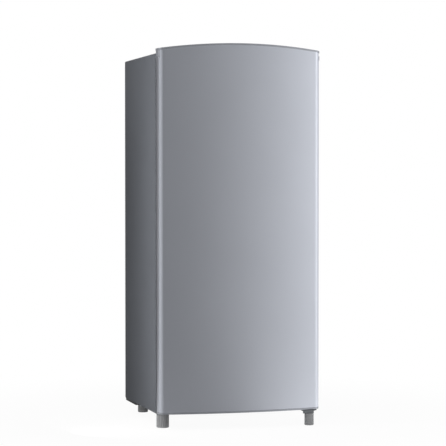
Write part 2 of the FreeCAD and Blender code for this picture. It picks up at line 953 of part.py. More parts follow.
def foot_nut_plate():
    w = nut_plate_width / 2
    x0 = max(left_foot_x - w, sheet - half)
    block = box(x0, left_foot_x + w, left_foot_y - w, left_foot_y + w, base - nut_plate, base)
    block = block.common(box(-far, far, rim, far, 0, top))
    return block.cut(post(stud_radius + stud_clearance, left_foot_x, left_foot_y, base - nut_plate, base))


def front_right_foot():
    height = base - lower_plate_lip - foot_gap
    foot = foot_disc(right_foot_radius, right_foot_x, right_foot_y, height)
    stud = post(stud_radius, right_foot_x, right_foot_y, height, base - stud_end_gap)
    return foot.fuse(stud).removeSplitter()


def rear_feet():
    foot = foot_disc(rear_foot_radius, rear_foot_x, rear_foot_y, base - base_drop)
    return Part.makeCompound([foot, mirrored(foot)])


# Machine compartment

base_floor = base - base_drop + base_plate
grommet_top = base_floor + grommet_height
carrier_top = grommet_top + carrier_plate
compressor_top = carrier_top + compressor_height
compressor_y = back - compressor_back_gap - compressor_width / 2
compressor_rear = compressor_y + compressor_width / 2
pipe_level = carrier_top + compressor_round + 2 * suction_radius


def stadium(length, width, z0, z1):
    end = width / 2
    run = length / 2 - end
    left = post(end, compressor_offset - run, compressor_y, z0, z1)
    right = post(end, compressor_offset + run, compressor_y, z0, z1)
    x0 = compressor_offset - run
    middle = box(x0, compressor_offset + run, compressor_y - end, compressor_y + end, z0, z1)
    return left.fuse([right, middle]).removeSplitter()


def compressor_pot():
    pot = stadium(compressor_length, compressor_width, carrier_top, compressor_top)
    pot = soften(pot, compressor_round, lambda b: b.ZLength < tiny)
    middle = (carrier_top + compressor_top) / 2
    length = compressor_length + 2 * seam_proud
    width = compressor_width + 2 * seam_proud
    seam = stadium(length, width, middle - seam_height / 2, middle + seam_height / 2)
    return pot.fuse(seam)


def bolt_places():
    x = carrier_length / 2 - carrier_inset
    y = carrier_width / 2 - carrier_inset
    return [(compressor_offset + i * x, compressor_y + j * y) for i in (-1, 1) for j in (-1, 1)]


def bolt_holes(z0, z1):
    return [post(bolt_radius + bolt_clearance, x, y, z0, z1) for x, y in bolt_places()]


def compressor():
    x0 = compressor_offset - carrier_length / 2
    y0 = compressor_y - carrier_width / 2
    carrier = box(x0, x0 + carrier_length, y0, y0 + carrier_width, grommet_top, carrier_top)
    carrier = soften(carrier, carrier_inset / 2, runs_along("Z"))
    carrier = carrier.cut(bolt_holes(grommet_top, carrier_top))
    return compressor_pot().fuse(carrier).removeSplitter()


def compressor_grommets():
    rings = [post(grommet_radius, x, y, base_floor, grommet_top) for x, y in bolt_places()]
    holes = bolt_holes(base_floor, grommet_top)
    return Part.makeCompound([ring.cut(hole) for ring, hole in zip(rings, holes)])


def compressor_bolts():
    bolts = []
    for x, y in bolt_places():
        shank = post(bolt_radius, x, y, base_floor - base_plate, carrier_top)
        head = post(bolt_head_radius, x, y, carrier_top, carrier_top + bolt_head)
        bolts.append(shank.fuse(head).removeSplitter())
    return Part.makeCompound(bolts)


def compressor_base():
    x = half - sheet
    y0 = machine_front + base_front_gap
    y1 = back - base_back_gap
    z0 = base - base_drop
    floor = box(-x, x, y0, y1, z0, base_floor)
    side = box(x - base_plate, x, y0, y1, z0, z0 + base_flange)
    tray = floor.fuse([side, mirrored(side)]).removeSplitter()
    return tray.cut(bolt_holes(z0, base_floor))


def terminal_box():
    x1 = compressor_offset - compressor_length / 2 + compressor_width / 2
    x0 = compressor_offset - compressor_length / 2 - terminal_reach
    y0 = compressor_y - terminal_width / 2
    z0 = carrier_top + terminal_rise
    shell = box(x0, x1, y0, y0 + terminal_width, z0, z0 + terminal_height)
    shell = soften(shell, terminal_round, lambda b: b.XMax < x1 - tiny)
    return shell.cut(compressor_pot()).Solids[0]


def suction_points():
    x = compressor_offset + suction_offset
    y = back + suction_standoff
    z = freezer_bottom + suction_level
    start = Vec(x, inner_back - freezer_back_gap, z)
    return [start, Vec(x, y, z), Vec(x, y, pipe_level), Vec(x, compressor_rear, pipe_level)]


def suction_tube():
    return tube(suction_points(), suction_radius, suction_standoff)


def suction_hole():
    start, bend = suction_points()[:2]
    return rod(suction_radius + pipe_room, start, bend)


drain_x = compressor_offset + suction_offset - drain_side - suction_radius - drain_radius
pan_floor = compressor_top
pan_rim = pan_floor + pan_height


def drain_points():
    y = back + drain_standoff
    turn = pan_rim + drain_end_gap
    start = Vec(drain_x, inner_back, tray_level - tray_drop)
    over_pan = compressor_y + pan_width / 2 - pan_round - drain_radius
    return [
        start,
        Vec(drain_x, y, start.z),
        Vec(drain_x, y, turn),
        Vec(drain_x, over_pan, turn),
        Vec(drain_x, over_pan, turn - drain_drop),
    ]


def drain_tube():
    inner = drain_radius - drain_wall
    bore = tube(drain_points(), inner, drain_standoff)
    return tube(drain_points(), drain_radius, drain_standoff).cut(bore)


def drain_hole():
    start, bend = drain_points()[:2]
    return rod(drain_radius + pipe_room, start - Vec(0, liner_wall, 0), bend)


def drain_pan():
    x0 = compressor_offset - pan_length / 2
    y0 = compressor_y - pan_width / 2
    outer = (x0, x0 + pan_length, y0, y0 + pan_width, pan_floor, pan_rim)
    return open_box(outer, pan_wall, pan_round, pan_under)


# Condenser

discharge_x = compressor_offset - discharge_offset
drier_x = -condenser_half_width - condenser_return
drier_top = condenser_bottom - condenser_lead
drier_bottom = drier_top - drier_length


def discharge_tube():
    points = [
        Vec(discharge_x, compressor_rear, pipe_level),
        Vec(discharge_x, condenser_y, pipe_level),
        Vec(discharge_x, condenser_y, condenser_bottom - condenser_lead),
    ]
    return tube(points, condenser_tube, pipe_bend)


def condenser_points():
    # Up from the discharge pipe, to and fro up the back, then down the left to the drier
    points = [
        Vec(discharge_x, condenser_y, condenser_bottom - condenser_lead),
        Vec(discharge_x, condenser_y, condenser_bottom),
    ]
    side = 1
    for i in range(condenser_runs):
        z = condenser_bottom + condenser_pitch * i
        points.append(Vec(side * condenser_half_width, condenser_y, z))
        if i < condenser_runs - 1:
            points.append(Vec(side * condenser_half_width, condenser_y, z + condenser_pitch))
        side = -side
    if points[-1].x > 0:
        points.append(points[-1] + Vec(0, 0, condenser_pitch))
        points.append(Vec(points[-1]))
    points[-1].x = drier_x
    points.append(Vec(drier_x, condenser_y, drier_top))
    return points


def condenser_pipe():
    points = condenser_points()
    bends = [pipe_bend] * 2 + [condenser_pitch / 2 - condenser_tube] * (len(points) - 4) + [pipe_bend] * 2
    path = rounded_path(points, bends, False)
    ring = Part.Wire(Part.makeCircle(condenser_tube, points[0], points[1] - points[0]))
    return path.makePipeShell([ring], True, False)


def wire_places():
    reach = condenser_half_width - condenser_pitch / 2 - clip_width / 2
    step = 2 * reach / (wire_count - 1)
    return [step * i - reach for i in range(wire_count)]


def condenser():
    highest = condenser_bottom + condenser_pitch * (condenser_runs - 1)
    offset = condenser_tube + wire_gap + wire_radius
    solids = [condenser_pipe()]
    for x in wire_places():
        for side in (-1, 1):
            y = condenser_y + side * offset
            solids.append(post(wire_radius, x, y, condenser_bottom - wire_overhang, highest + wire_overhang))
    return Part.makeCompound(solids)


def condenser_clips():
    # Blocks on the back panel that hold the pipe between two wires
    places = wire_places()
    x = (places[0] + places[1]) / 2
    pipe = condenser_pipe()
    clips = []
    for run in (1, condenser_runs // 2, condenser_runs - 2):
        z = condenser_bottom + condenser_pitch * run
        w = clip_width / 2
        clip = box(x - w, x + w, back, condenser_y, z - clip_height / 2, z + clip_height / 2).cut(pipe)
        clips += [clip, mirrored(clip)]
    return Part.makeCompound(clips)


def filter_drier():
    neck = drier_radius
    body = post(drier_radius, drier_x, condenser_y, drier_bottom + drier_neck, drier_top - drier_neck)
    upper = Part.makeCone(neck, condenser_tube, drier_neck, Vec(drier_x, condenser_y, drier_top - drier_neck))
    lower = Part.makeCone(condenser_tube, neck, drier_neck, Vec(drier_x, condenser_y, drier_bottom))
    return body.fuse([upper, lower]).removeSplitter()


def capillary_tube():
    low = drier_bottom - capillary_drop
    points = [
        Vec(drier_x, condenser_y, drier_bottom),
        Vec(drier_x, condenser_y, low),
        Vec(drier_x, machine_front, low),
    ]
    return tube(points, capillary_radius, capillary_bend)


def cord_gland():
    # A rubber gland in the back panel for the mains lead, shut by a web at its inner end
    x = -gland_side
    z = machine_top + sheet + gland_rise
    flange = rod(gland_flange_radius, Vec(x, back, z), Vec(x, back + gland_flange, z))
    neck = rod(gland_radius, Vec(x, back, z), Vec(x, back + gland_length, z))
    bore = rod(gland_bore, Vec(x, back + gland_flange, z), Vec(x, back + gland_length, z))
    return flange.fuse(neck).cut(bore).removeSplitter()


# Freezer box

frame_front = rim + freezer_front - frame_depth
flap_rear = frame_front - flap_gap
flap_axis_y = flap_rear - flap_thick / 2
flap_axis_x = inner_half - flap_pin_side


def freezer_block(inset, y0, y1):
    x = freezer_half_width - inset
    block = box(-x, x, y0, y1, freezer_bottom + inset, freezer_top - inset)
    return soften(block, freezer_round - inset, runs_along("Y"))


def evaporator_box():
    y0 = rim + freezer_front
    y1 = inner_back - freezer_back_gap
    return freezer_block(0, y0, y1).cut(freezer_block(freezer_wall, y0, y1 - freezer_wall))


def evaporator_hangers():
    y0 = rim + freezer_front + hanger_inset
    y1 = inner_back - freezer_back_gap - hanger_inset
    x = freezer_half_width - hanger_inset
    posts = [post(hanger_radius, i * x, y, freezer_top, inner_top) for i in (-1, 1) for y in (y0, y1)]
    return Part.makeCompound(posts)


flap_low = freezer_bottom + lug_wall
flap_high = freezer_top - lug_wall


def freezer_frame():
    x = inner_half - frame_side_gap
    y1 = rim + freezer_front
    ring = box(-x, x, frame_front, y1, freezer_bottom - frame_lap, freezer_top + frame_lap)
    ring = soften(ring, frame_round, runs_along("Y"))
    ring = soften(ring, frame_edge, lambda b: b.YLength < tiny and abs(b.YMin - frame_front) < tiny)
    ring = ring.cut(freezer_block(freezer_wall, frame_front - far, y1))
    radius = flap_pin_radius + flap_pin_clearance
    lug_high = flap_high + flap_play
    lug_low = flap_low - flap_play - lug_wall
    w = radius + lug_wall
    for z0 in (lug_low, lug_high):
        z1 = z0 + lug_wall
        lug = box(flap_axis_x - w, flap_axis_x + w, flap_axis_y, frame_front + frame_edge, z0, z1)
        lug = lug.fuse(post(w, flap_axis_x, flap_axis_y, z0, z1))
        ring = ring.fuse(lug).cut(post(radius, flap_axis_x, flap_axis_y, z0, z1))
    return ring.removeSplitter()


def freezer_flap():
    x0 = -freezer_half_width - flap_lap
    x1 = flap_axis_x + flap_end
    y0 = flap_rear - flap_thick
    panel = soften(box(x0, x1, y0, flap_rear, flap_low, flap_high), flap_round, lambda b: True)
    pin_low = flap_low - flap_pin_length
    pins = post(flap_pin_radius, flap_axis_x, flap_axis_y, pin_low, flap_high + flap_pin_length)
    middle = (flap_low + flap_high) / 2
    gx = x0 + flap_grip_inset
    z0 = middle - flap_grip_height / 2
    grip = box(gx, gx + flap_grip_wall, y0 - flap_grip_reach, y0 + flap_round, z0, z0 + flap_grip_height)
    grip = soften(grip, flap_grip_wall / 3, lambda b: b.YMax < y0 + flap_round - tiny)
    return panel.fuse([pins, grip]).removeSplitter()


def chiller_tray():
    # Hangs by its side rims on the liner's ledges
    x = inner_half - ledge - tray_play
    rim_x = inner_half - tray_side_gap
    y0 = rim + tray_front
    y1 = inner_back - tray_back_gap
    z1 = tray_level + tray_rim
    tray = open_box((-x, x, y0, y1, tray_level - tray_drop, z1), tray_wall, tray_round, tray_under)
    seat = y0 + ledge_front - tray_front
    wing = box(x - tray_wall, rim_x, seat, y1 - tray_round, tray_level, z1)
    front = box(-x, x, y0 - tray_wall, y0 + tray_wall, tray_level - tray_drop, z1 + tray_front_rise)
    front = soften(front, tray_round, lambda b: runs_along("Y")(b) and b.ZMin > z1)
    return tray.fuse([wing, mirrored(wing), front]).removeSplitter()


# Shelves

glass_half = inner_half - glass_side_gap
glass_y0 = rim + glass_front
glass_y1 = inner_back - glass_back_gap


def shelf_pane(level):
    return box(-glass_half, glass_half, glass_y0, glass_y1, level, level + glass)


def shelf_glass():
    return Part.makeCompound([shelf_pane(level) for level in shelf_levels])


def shelf_trims():
    trims = []
    for level in shelf_levels:
        z0 = level - trim_under
        z1 = level + glass + trim_over
        nose = box(-glass_half, glass_half, glass_y0 - trim_front, glass_y0 + trim_lap, z0, z1)
        nose = soften(nose, trim_round, lambda b: runs_along("X")(b) and b.YMax < glass_y0)
        stop = level + glass + trim_stop
        heel = box(-glass_half, glass_half, glass_y1 - trim_lap, glass_y1 + trim_front, z0, stop)
        heel = soften(heel, trim_round, lambda b: runs_along("X")(b) and b.ZMin > z1)
        trims += [nose.cut(shelf_pane(level)), heel.cut(shelf_pane(level))]
    return Part.makeCompound(trims)


def crisper_drawer():
    x = crisper_half_width
    y0 = rim + crisper_front
    y1 = step_front - crisper_back_gap
    z0 = inner_floor + crisper_rail
    z1 = z0 + crisper_height
    drawer = open_box((-x, x, y0, y1, z0, z1), crisper_wall, crisper_round, crisper_under)
    w = crisper_lip_width / 2
    lip = box(-w, w, y0 - crisper_lip_reach, y0 + crisper_wall, z1 - crisper_lip_height, z1)
    finger = box(-far, far, y0 - crisper_lip_reach + crisper_wall, y0, 0, z1 - crisper_wall)
    lip = soften(lip, crisper_lip_height / 3, lambda b: runs_along("Y")(b) and b.ZMax < z1).cut(finger)
    return drawer.fuse(lip).removeSplitter()


# Thermostat and lamp

housing_x = inner_half - housing_reach
housing_y0 = rim + housing_front
housing_y1 = housing_y0 + housing_depth
housing_z1 = housing_level + housing_height
knob_y = (housing_y0 + housing_y1) / 2
knob_z = (housing_level + housing_z1) / 2


def along_x(radius, x0, x1):
    return rod(radius, Vec(x0, knob_y, knob_z), Vec(x1, knob_y, knob_z))


def thermostat_housing():
    outer = box(housing_x, inner_half, housing_y0, housing_y1, housing_level, housing_z1)
    shell = soften(outer, housing_round, lambda b: b.XMax < inner_half - tiny)
    w = housing_wall
    low = housing_level + w
    hollow = box(housing_x + w, inner_half, housing_y0 + w, housing_y1 - w, low, housing_z1 - w)
    return shell.cut(hollow).cut(along_x(knob_bore + knob_gap, housing_x, housing_x + w))


def thermostat_body():
    # Holds the knob's spindle in a running bore
    w = thermostat_width / 2
    x0 = housing_x + housing_wall
    body = box(x0, inner_half, knob_y - w, knob_y + w, knob_z - w, knob_z + w)
    return body.cut(along_x(knob_bore + pin_clearance, x0, x0 + knob_spindle + knob_gap))


def lamp_cover():
    z0 = housing_level + lamp_inset
    z1 = housing_z1 - lamp_inset
    x0 = housing_x + lamp_inset
    y0 = housing_y0 - lamp_depth
    free = lambda b: b.XMax < inner_half - tiny and b.YMax < housing_y0 - tiny
    shell = soften(box(x0, inner_half, y0, housing_y0, z0, z1), housing_round, free)
    w = housing_wall
    return shell.cut(box(x0 + w, inner_half, y0 + w, housing_y0, z0 + w, z1 - w))


lamp_x = inner_half - (housing_reach - lamp_inset) / 2


def lamp_rod(radius, y0, y1):
    return rod(radius, Vec(lamp_x, y0, knob_z), Vec(lamp_x, y1, knob_z))


def lamp_socket():
    return lamp_rod(socket_radius, housing_y0 - socket_length, housing_y0)


def lamp_bulb():
    y1 = housing_y0 - socket_length
    neck = lamp_rod(bulb_neck, y1 - bulb_length / 2, y1)
    y = y1 - bulb_length + bulb_radius
    globe = Part.makeSphere(bulb_radius, Vec(lamp_x, y, knob_z))
    waist = Vec(lamp_x, y + bulb_radius / 2, knob_z)
    shoulder = Part.makeCone(bulb_radius * cos(pi / 6), bulb_neck, bulb_radius, waist, Vec(0, 1, 0))
    return neck.fuse([globe, shoulder]).removeSplitter()


def thermostat_knob():
    face = housing_x - knob_gap
    disc = along_x(knob_radius, face - knob_height, face)
    disc = soften(disc, knob_round, lambda b: b.XLength < tiny and b.XMax < face - tiny)
    bar_x = face - knob_height
    bar_end = bar_x - knob_bar_height
    w = knob_bar_width
    bar = box(bar_end, bar_x, knob_y - w, knob_y + w, knob_z - knob_radius, knob_z + knob_radius)
    bar = bar.common(along_x(knob_radius - knob_round, bar_end, bar_x))
    spindle = along_x(knob_bore, face, housing_x + housing_wall + knob_spindle)
    well = along_x(knob_bore + button_clearance, bar_end, bar_x + button_travel)
    return disc.fuse([bar, spindle]).cut(well).removeSplitter()


def defrost_button():
    outside = housing_x - knob_gap - knob_height - knob_bar_height
    button = along_x(knob_bore, outside - button_proud, outside + knob_bar_height)
    return soften(button, knob_round, lambda b: b.XLength < tiny and b.XMax < outside)


# Lamp switch

plunger_x = (dike_half + dike_inner) / 2
plunger_z = switch_level + switch_height / 2
switch_y0 = rim + switch_front


def plunger_rod(radius, y0, y1):
    return rod(radius, Vec(plunger_x, y0, plunger_z), Vec(plunger_x, y1, plunger_z))


def switch_body():
    y1 = switch_y0 + switch_depth
    z1 = switch_level + switch_height
    body = box(inner_half - switch_reach, inner_half, switch_y0, y1, switch_level, z1)
    body = soften(body, housing_round / 2, lambda b: b.XMax < inner_half - tiny)
    well_end = switch_y0 + plunger_hold + plunger_free
    return body.cut(plunger_rod(plunger_radius + plunger_clearance, switch_y0, well_end))


def switch_plunger():
    y0 = dike_rear + plunger_free
    rodlet = plunger_rod(plunger_radius, y0, switch_y0 + plunger_hold)
    return soften(rodlet, plunger_radius / 3, lambda b: b.YLength < tiny and b.YMax < y0 + tiny)


nodes = {
    "cabinet_wrap": cabinet_wrap(),
    "bottom_pan": bottom_pan(),
    "machine_shroud": machine_shroud(),
    "back_panel": back_panel(),
    "cabinet_foam": cabinet_foam(),
    "inner_liner": inner_liner(),
    "door_skin": door_skin(),
    "door_foam": door_foam(),
    "dike_foam": dike_foam(),
    "door_liner": door_liner(),
    "door_top_cap": door_top_cap(),
    "door_bottom_cap": door_bottom_cap(),
    "door_gasket": door_gasket(),
    "gasket_magnets": gasket_magnets(),
    "hinge_bushes": hinge_bushes(),
    "egg_tray": egg_tray(),
    "upper_hinge_bracket": upper_hinge_bracket(),
    "upper_hinge_pin": upper_hinge_pin(),
    "lower_hinge_bracket": lower_hinge_bracket(),
    "lower_hinge_pin": lower_hinge_pin(),
    "hinge_screws": hinge_screws(),
    "hinge_cover": hinge_cover(),
    "front_left_foot": front_left_foot(),
    "foot_nut_plate": foot_nut_plate(),
    "front_right_foot": front_right_foot(),
    "rear_feet": rear_feet(),
    "compressor_base": compressor_base(),
    "compressor": compressor(),
    "compressor_grommets": compressor_grommets(),
    "compressor_bolts": compressor_bolts(),
    "terminal_box": terminal_box(),
    "suction_tube": suction_tube(),
    "discharge_tube": discharge_tube(),
    "condenser": condenser(),
    "condenser_clips": condenser_clips(),
    "filter_drier": filter_drier(),
    "capillary_tube": capillary_tube(),
    "drain_tube": drain_tube(),
    "drain_pan": drain_pan(),
    "cord_gland": cord_gland(),
    "evaporator_box": evaporator_box(),
    "evaporator_hangers": evaporator_hangers(),
    "freezer_frame": freezer_frame(),
    "freezer_flap": freezer_flap(),
    "chiller_tray": chiller_tray(),
    "shelf_glass": shelf_glass(),
    "shelf_trims": shelf_trims(),
    "crisper_drawer": crisper_drawer(),
    "thermostat_housing": thermostat_housing(),
    "thermostat_body": thermostat_body(),
    "thermostat_knob": thermostat_knob(),
    "defrost_button": defrost_button(),
    "lamp_cover": lamp_cover(),
    "lamp_socket": lamp_socket(),
    "lamp_bulb": lamp_bulb(),
    "switch_body": switch_body(),
    "switch_plunger": switch_plunger(),
}
for bin_name, (bin_level, bin_height) in bins.items():
    nodes[bin_name] = door_bin(bin_level, bin_height)

os.makedirs("parts", exist_ok=True)
for name, shape in nodes.items():
    sound = shape.isValid() and all(solid.Volume > 0 for solid in shape.Solids)
    print(name, len(shape.Solids), round(shape.Volume / 1000, 2), "cm3", "ok" if sound else "UNSOUND")
    shape.exportStep("parts/" + name + ".step")
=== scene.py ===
import bmesh
import bpy
import json
from math import acos, atan2, cos, pi, radians, sin, sqrt
from mathutils import Matrix, Vector


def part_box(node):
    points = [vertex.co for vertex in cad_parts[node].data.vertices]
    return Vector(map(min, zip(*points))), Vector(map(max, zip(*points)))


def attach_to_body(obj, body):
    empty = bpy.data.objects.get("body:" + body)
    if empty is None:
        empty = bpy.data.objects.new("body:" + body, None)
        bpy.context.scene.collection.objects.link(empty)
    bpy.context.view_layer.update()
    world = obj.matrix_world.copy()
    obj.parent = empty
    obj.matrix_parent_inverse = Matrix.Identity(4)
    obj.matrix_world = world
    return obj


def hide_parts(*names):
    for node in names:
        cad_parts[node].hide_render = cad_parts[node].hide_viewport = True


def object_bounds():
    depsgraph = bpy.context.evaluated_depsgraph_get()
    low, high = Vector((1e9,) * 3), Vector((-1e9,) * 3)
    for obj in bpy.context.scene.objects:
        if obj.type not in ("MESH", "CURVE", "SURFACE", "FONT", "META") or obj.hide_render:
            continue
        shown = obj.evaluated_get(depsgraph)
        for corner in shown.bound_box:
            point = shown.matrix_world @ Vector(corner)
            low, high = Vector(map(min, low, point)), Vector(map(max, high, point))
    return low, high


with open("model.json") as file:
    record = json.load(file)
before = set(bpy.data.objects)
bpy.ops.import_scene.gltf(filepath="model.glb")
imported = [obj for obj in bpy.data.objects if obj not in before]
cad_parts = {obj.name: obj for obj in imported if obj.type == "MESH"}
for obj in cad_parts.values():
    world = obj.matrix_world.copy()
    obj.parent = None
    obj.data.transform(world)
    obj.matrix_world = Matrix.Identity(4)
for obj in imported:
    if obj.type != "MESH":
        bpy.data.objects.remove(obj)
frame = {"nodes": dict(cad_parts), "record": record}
nodes = frame["nodes"]
cadLow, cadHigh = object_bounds()
bodies = frame["record"]["behaviour"]["bodies"]
bodyOf = {node: body for body, group in bodies.items() for node in group}
slotOf = {entry["node"]: entry["material_slot"] for entry in frame["record"]["subparts"]}
print("frame loaded,", len(nodes), "nodes")


# shader helpers

def addNode(tree, kind, inputs=None, **settings):
    made = tree.nodes.new(kind)
    for key, value in settings.items():
        setattr(made, key, value)
    for key, value in (inputs or {}).items():
        if isinstance(value, bpy.types.NodeSocket):
            tree.links.new(value, made.inputs[key])
        else:
            made.inputs[key].default_value = value
    return made


def worked(tree, operation, *values):
    return addNode(tree, "ShaderNodeMath", dict(enumerate(values)), operation=operation).outputs[0]


def vectorWorked(tree, operation, *values):
    return addNode(tree, "ShaderNodeVectorMath", dict(enumerate(values)), operation=operation).outputs


def startMaterial(name):
    material = bpy.data.materials.new(name)
    material.use_nodes = True
    tree = material.node_tree
    tree.nodes.clear()
    shader = addNode(tree, "ShaderNodeBsdfPrincipled")
    addNode(tree, "ShaderNodeOutputMaterial", {"Surface": shader.outputs[0]})
    place = addNode(tree, "ShaderNodeTexCoord").outputs["Object"]
    return material, tree, shader, place


def noise(tree, place, scale, detail=2.0):
    inputs = {"Vector": place, "Scale": scale, "Detail": detail}
    return addNode(tree, "ShaderNodeTexNoise", inputs).outputs["Fac"]


def remap(tree, value, low, high):
    inputs = {"Value": value, "To Min": low, "To Max": high}
    return addNode(tree, "ShaderNodeMapRange", inputs).outputs[0]


def mixed(tree, factor, first, second):
    # the Mix node keeps its colours in inputs 6 and 7 and in output 2
    made = addNode(tree, "ShaderNodeMix", {0: factor, 6: first, 7: second}, data_type="RGBA")
    return made.outputs[2]


def shaded(colour, gain):
    return (*[min(1.0, part * gain) for part in colour], 1.0)


def bumpFrom(tree, shader, height, strength, depth):
    inputs = {"Strength": strength, "Distance": depth, "Height": height}
    tree.links.new(addNode(tree, "ShaderNodeBump", inputs).outputs[0], shader.inputs["Normal"])


def setSockets(shader, values):
    for socket, value in values.items():
        shader.inputs[socket].default_value = value


# three kinds of finish, each with what it takes where a look says nothing; sizes in 1/m and m

plainLook = {"broad": 9.0, "broadDetail": 3.0, "grain": 900.0, "vary": 0.08, "speck": 0.12, "speckGain": 0.6,
             "glossVary": 0.05, "bump": 0.15, "depth": 0.0002, "sockets": {}}
silverLook = {"broad": 5.0, "grainDetail": 1.0, "glossVary": 0.05, "depth": 0.0001}
clearLook = {"streak": 4.0, "streakDetail": 3.0, "stretch": (3.0, 3.0, 16.0), "vary": 0.04, "glossVary": 0.05}


def surface(name, ownLook):
    # mottled colour, uneven gloss and a fine moulded or sprayed grain
    look = {**plainLook, **ownLook}
    material, tree, shader, place = startMaterial(name)
    broad = noise(tree, place, look["broad"], look["broadDetail"])
    grain = noise(tree, place, look["grain"])
    colour, vary = look["colour"], look["vary"]
    tone = mixed(tree, broad, shaded(colour, 1 - vary), shaded(colour, 1 + vary))
    speck = remap(tree, grain, 0.0, look["speck"])
    tone = mixed(tree, speck, tone, shaded(colour, look["speckGain"]))
    tree.links.new(tone, shader.inputs["Base Color"])
    gloss, spread = look["gloss"], look["glossVary"]
    tree.links.new(remap(tree, broad, gloss - spread, gloss + spread), shader.inputs["Roughness"])
    bumpFrom(tree, shader, grain, look["bump"], look["depth"])
    setSockets(shader, look["sockets"])
    return material


def silvered(name, ownLook):
    # fine flakes of two tones, on the door under a thin clear coat
    look = {**silverLook, **ownLook}
    material, tree, shader, place = startMaterial(name)
    flakes = addNode(tree, "ShaderNodeTexVoronoi", {"Vector": place, "Scale": look["flake"]}).outputs["Color"]
    tint = addNode(tree, "ShaderNodeRGBToBW", {"Color": flakes}).outputs[0]
    factor = worked(tree, "MULTIPLY", tint, noise(tree, place, look["broad"]))
    tone = mixed(tree, factor, (*look["dark"], 1), (*look["light"], 1))
    tree.links.new(tone, shader.inputs["Base Color"])
    gloss, spread = look["gloss"], look["glossVary"]
    tree.links.new(remap(tree, tint, gloss - spread, gloss + spread), shader.inputs["Roughness"])
    grain = noise(tree, place, look["grain"], look["grainDetail"])
    bumpFrom(tree, shader, grain, look["bump"], look["depth"])
    setSockets(shader, look["sockets"])
    return material


def seeThrough(name, ownLook):
    # clear sheet or moulding: faint flow streaks in the colour and gloss
    look = {**clearLook, **ownLook}
    material, tree, shader, place = startMaterial(name)
    drawn = addNode(tree, "ShaderNodeMapping", {"Vector": place, "Scale": look["stretch"]}).outputs[0]
    streak = noise(tree, drawn, look["streak"], look["streakDetail"])
    colour, vary, gloss = look["colour"], look["vary"], look["gloss"]
    tone = mixed(tree, streak, shaded(colour, 1 - vary), shaded(colour, 1 + vary))
    tree.links.new(tone, shader.inputs["Base Color"])
    tree.links.new(remap(tree, streak, gloss, gloss + look["glossVary"]), shader.inputs["Roughness"])
    setSockets(shader, look["sockets"])
    return material


plainLooks = {
    "cabinetPaint": {
        "colour": (0.083, 0.088, 0.098), "gloss": 0.62, "grain": 650.0, "bump": 0.12, "vary": 0.05,
        "speck": 0.06, "sockets": {"Specular IOR Level": 0.08}},
    "zincSheet": {
        "colour": (0.42, 0.43, 0.44), "gloss": 0.38, "grain": 260.0, "broad": 60.0, "vary": 0.16,
        "bump": 0.05, "sockets": {"Metallic": 0.85}},
    "blackEnamel": {
        "colour": (0.016, 0.016, 0.018), "gloss": 0.36, "grain": 500.0, "bump": 0.12, "speckGain": 2.0},
    "hingePaint": {
        "colour": (0.14, 0.15, 0.16), "gloss": 0.45, "grain": 700.0, "bump": 0.12},
    "insulation": {
        "colour": (0.78, 0.68, 0.42), "gloss": 0.9, "grain": 700.0, "bump": 0.6, "depth": 0.0006},
    "linerWhite": {
        "colour": (0.87, 0.88, 0.88), "gloss": 0.3, "grain": 160.0, "broad": 6.0, "vary": 0.03,
        "speck": 0.03, "speckGain": 0.9, "bump": 0.05, "depth": 0.0003},
    "capGrey": {
        "colour": (0.17, 0.178, 0.195), "gloss": 0.48, "grain": 1400.0, "bump": 0.18, "vary": 0.04},
    "sealGrey": {
        "colour": (0.11, 0.113, 0.12), "gloss": 0.6, "grain": 900.0, "bump": 0.15},
    "magnetStrip": {"colour": (0.05, 0.048, 0.045), "gloss": 0.7},
    "bushPlastic": {"colour": (0.7, 0.69, 0.64), "gloss": 0.45},
    "whitePlastic": {
        "colour": (0.86, 0.87, 0.88), "gloss": 0.34, "grain": 1100.0, "bump": 0.08, "vary": 0.03,
        "speck": 0.04, "speckGain": 0.9},
    "buttonGreen": {"colour": (0.07, 0.32, 0.16), "gloss": 0.3},
    "trimGrey": {
        "colour": (0.55, 0.58, 0.61), "gloss": 0.32, "grain": 1200.0, "bump": 0.08, "vary": 0.04},
    "brightZinc": {
        "colour": (0.6, 0.6, 0.6), "gloss": 0.3, "grain": 1500.0, "bump": 0.1, "vary": 0.12,
        "sockets": {"Metallic": 1.0}},
    "footPlastic": {
        "colour": (0.27, 0.273, 0.28), "gloss": 0.5, "grain": 1100.0, "bump": 0.2},
    "blackRubber": {
        "colour": (0.022, 0.022, 0.022), "gloss": 0.75, "grain": 1200.0, "bump": 0.3, "speckGain": 2.5},
    "copper": {
        "colour": (0.72, 0.34, 0.2), "gloss": 0.3, "grain": 500.0, "broad": 30.0, "vary": 0.14,
        "speckGain": 0.35, "speck": 0.3, "sockets": {"Metallic": 1.0}},
    "blackPlastic": {
        "colour": (0.024, 0.024, 0.026), "gloss": 0.5, "grain": 1300.0, "bump": 0.25, "speckGain": 2.0},
    "coldPlate": {
        "colour": (0.68, 0.7, 0.72), "gloss": 0.42, "grain": 340.0, "broad": 24.0, "vary": 0.08,
        "bump": 0.08, "sockets": {"Metallic": 0.8}},
    "lampFrost": {
        "colour": (0.9, 0.9, 0.87), "gloss": 0.35, "vary": 0.02, "speck": 0.03,
        "sockets": {"Transmission Weight": 0.35}},
    "lampGlass": {
        "colour": (0.94, 0.92, 0.85), "gloss": 0.3, "vary": 0.02, "speck": 0.03,
        "sockets": {"Transmission Weight": 0.3}},
    "printGrey": {"colour": (0.12, 0.13, 0.15), "gloss": 0.5, "grain": 2000.0},
}
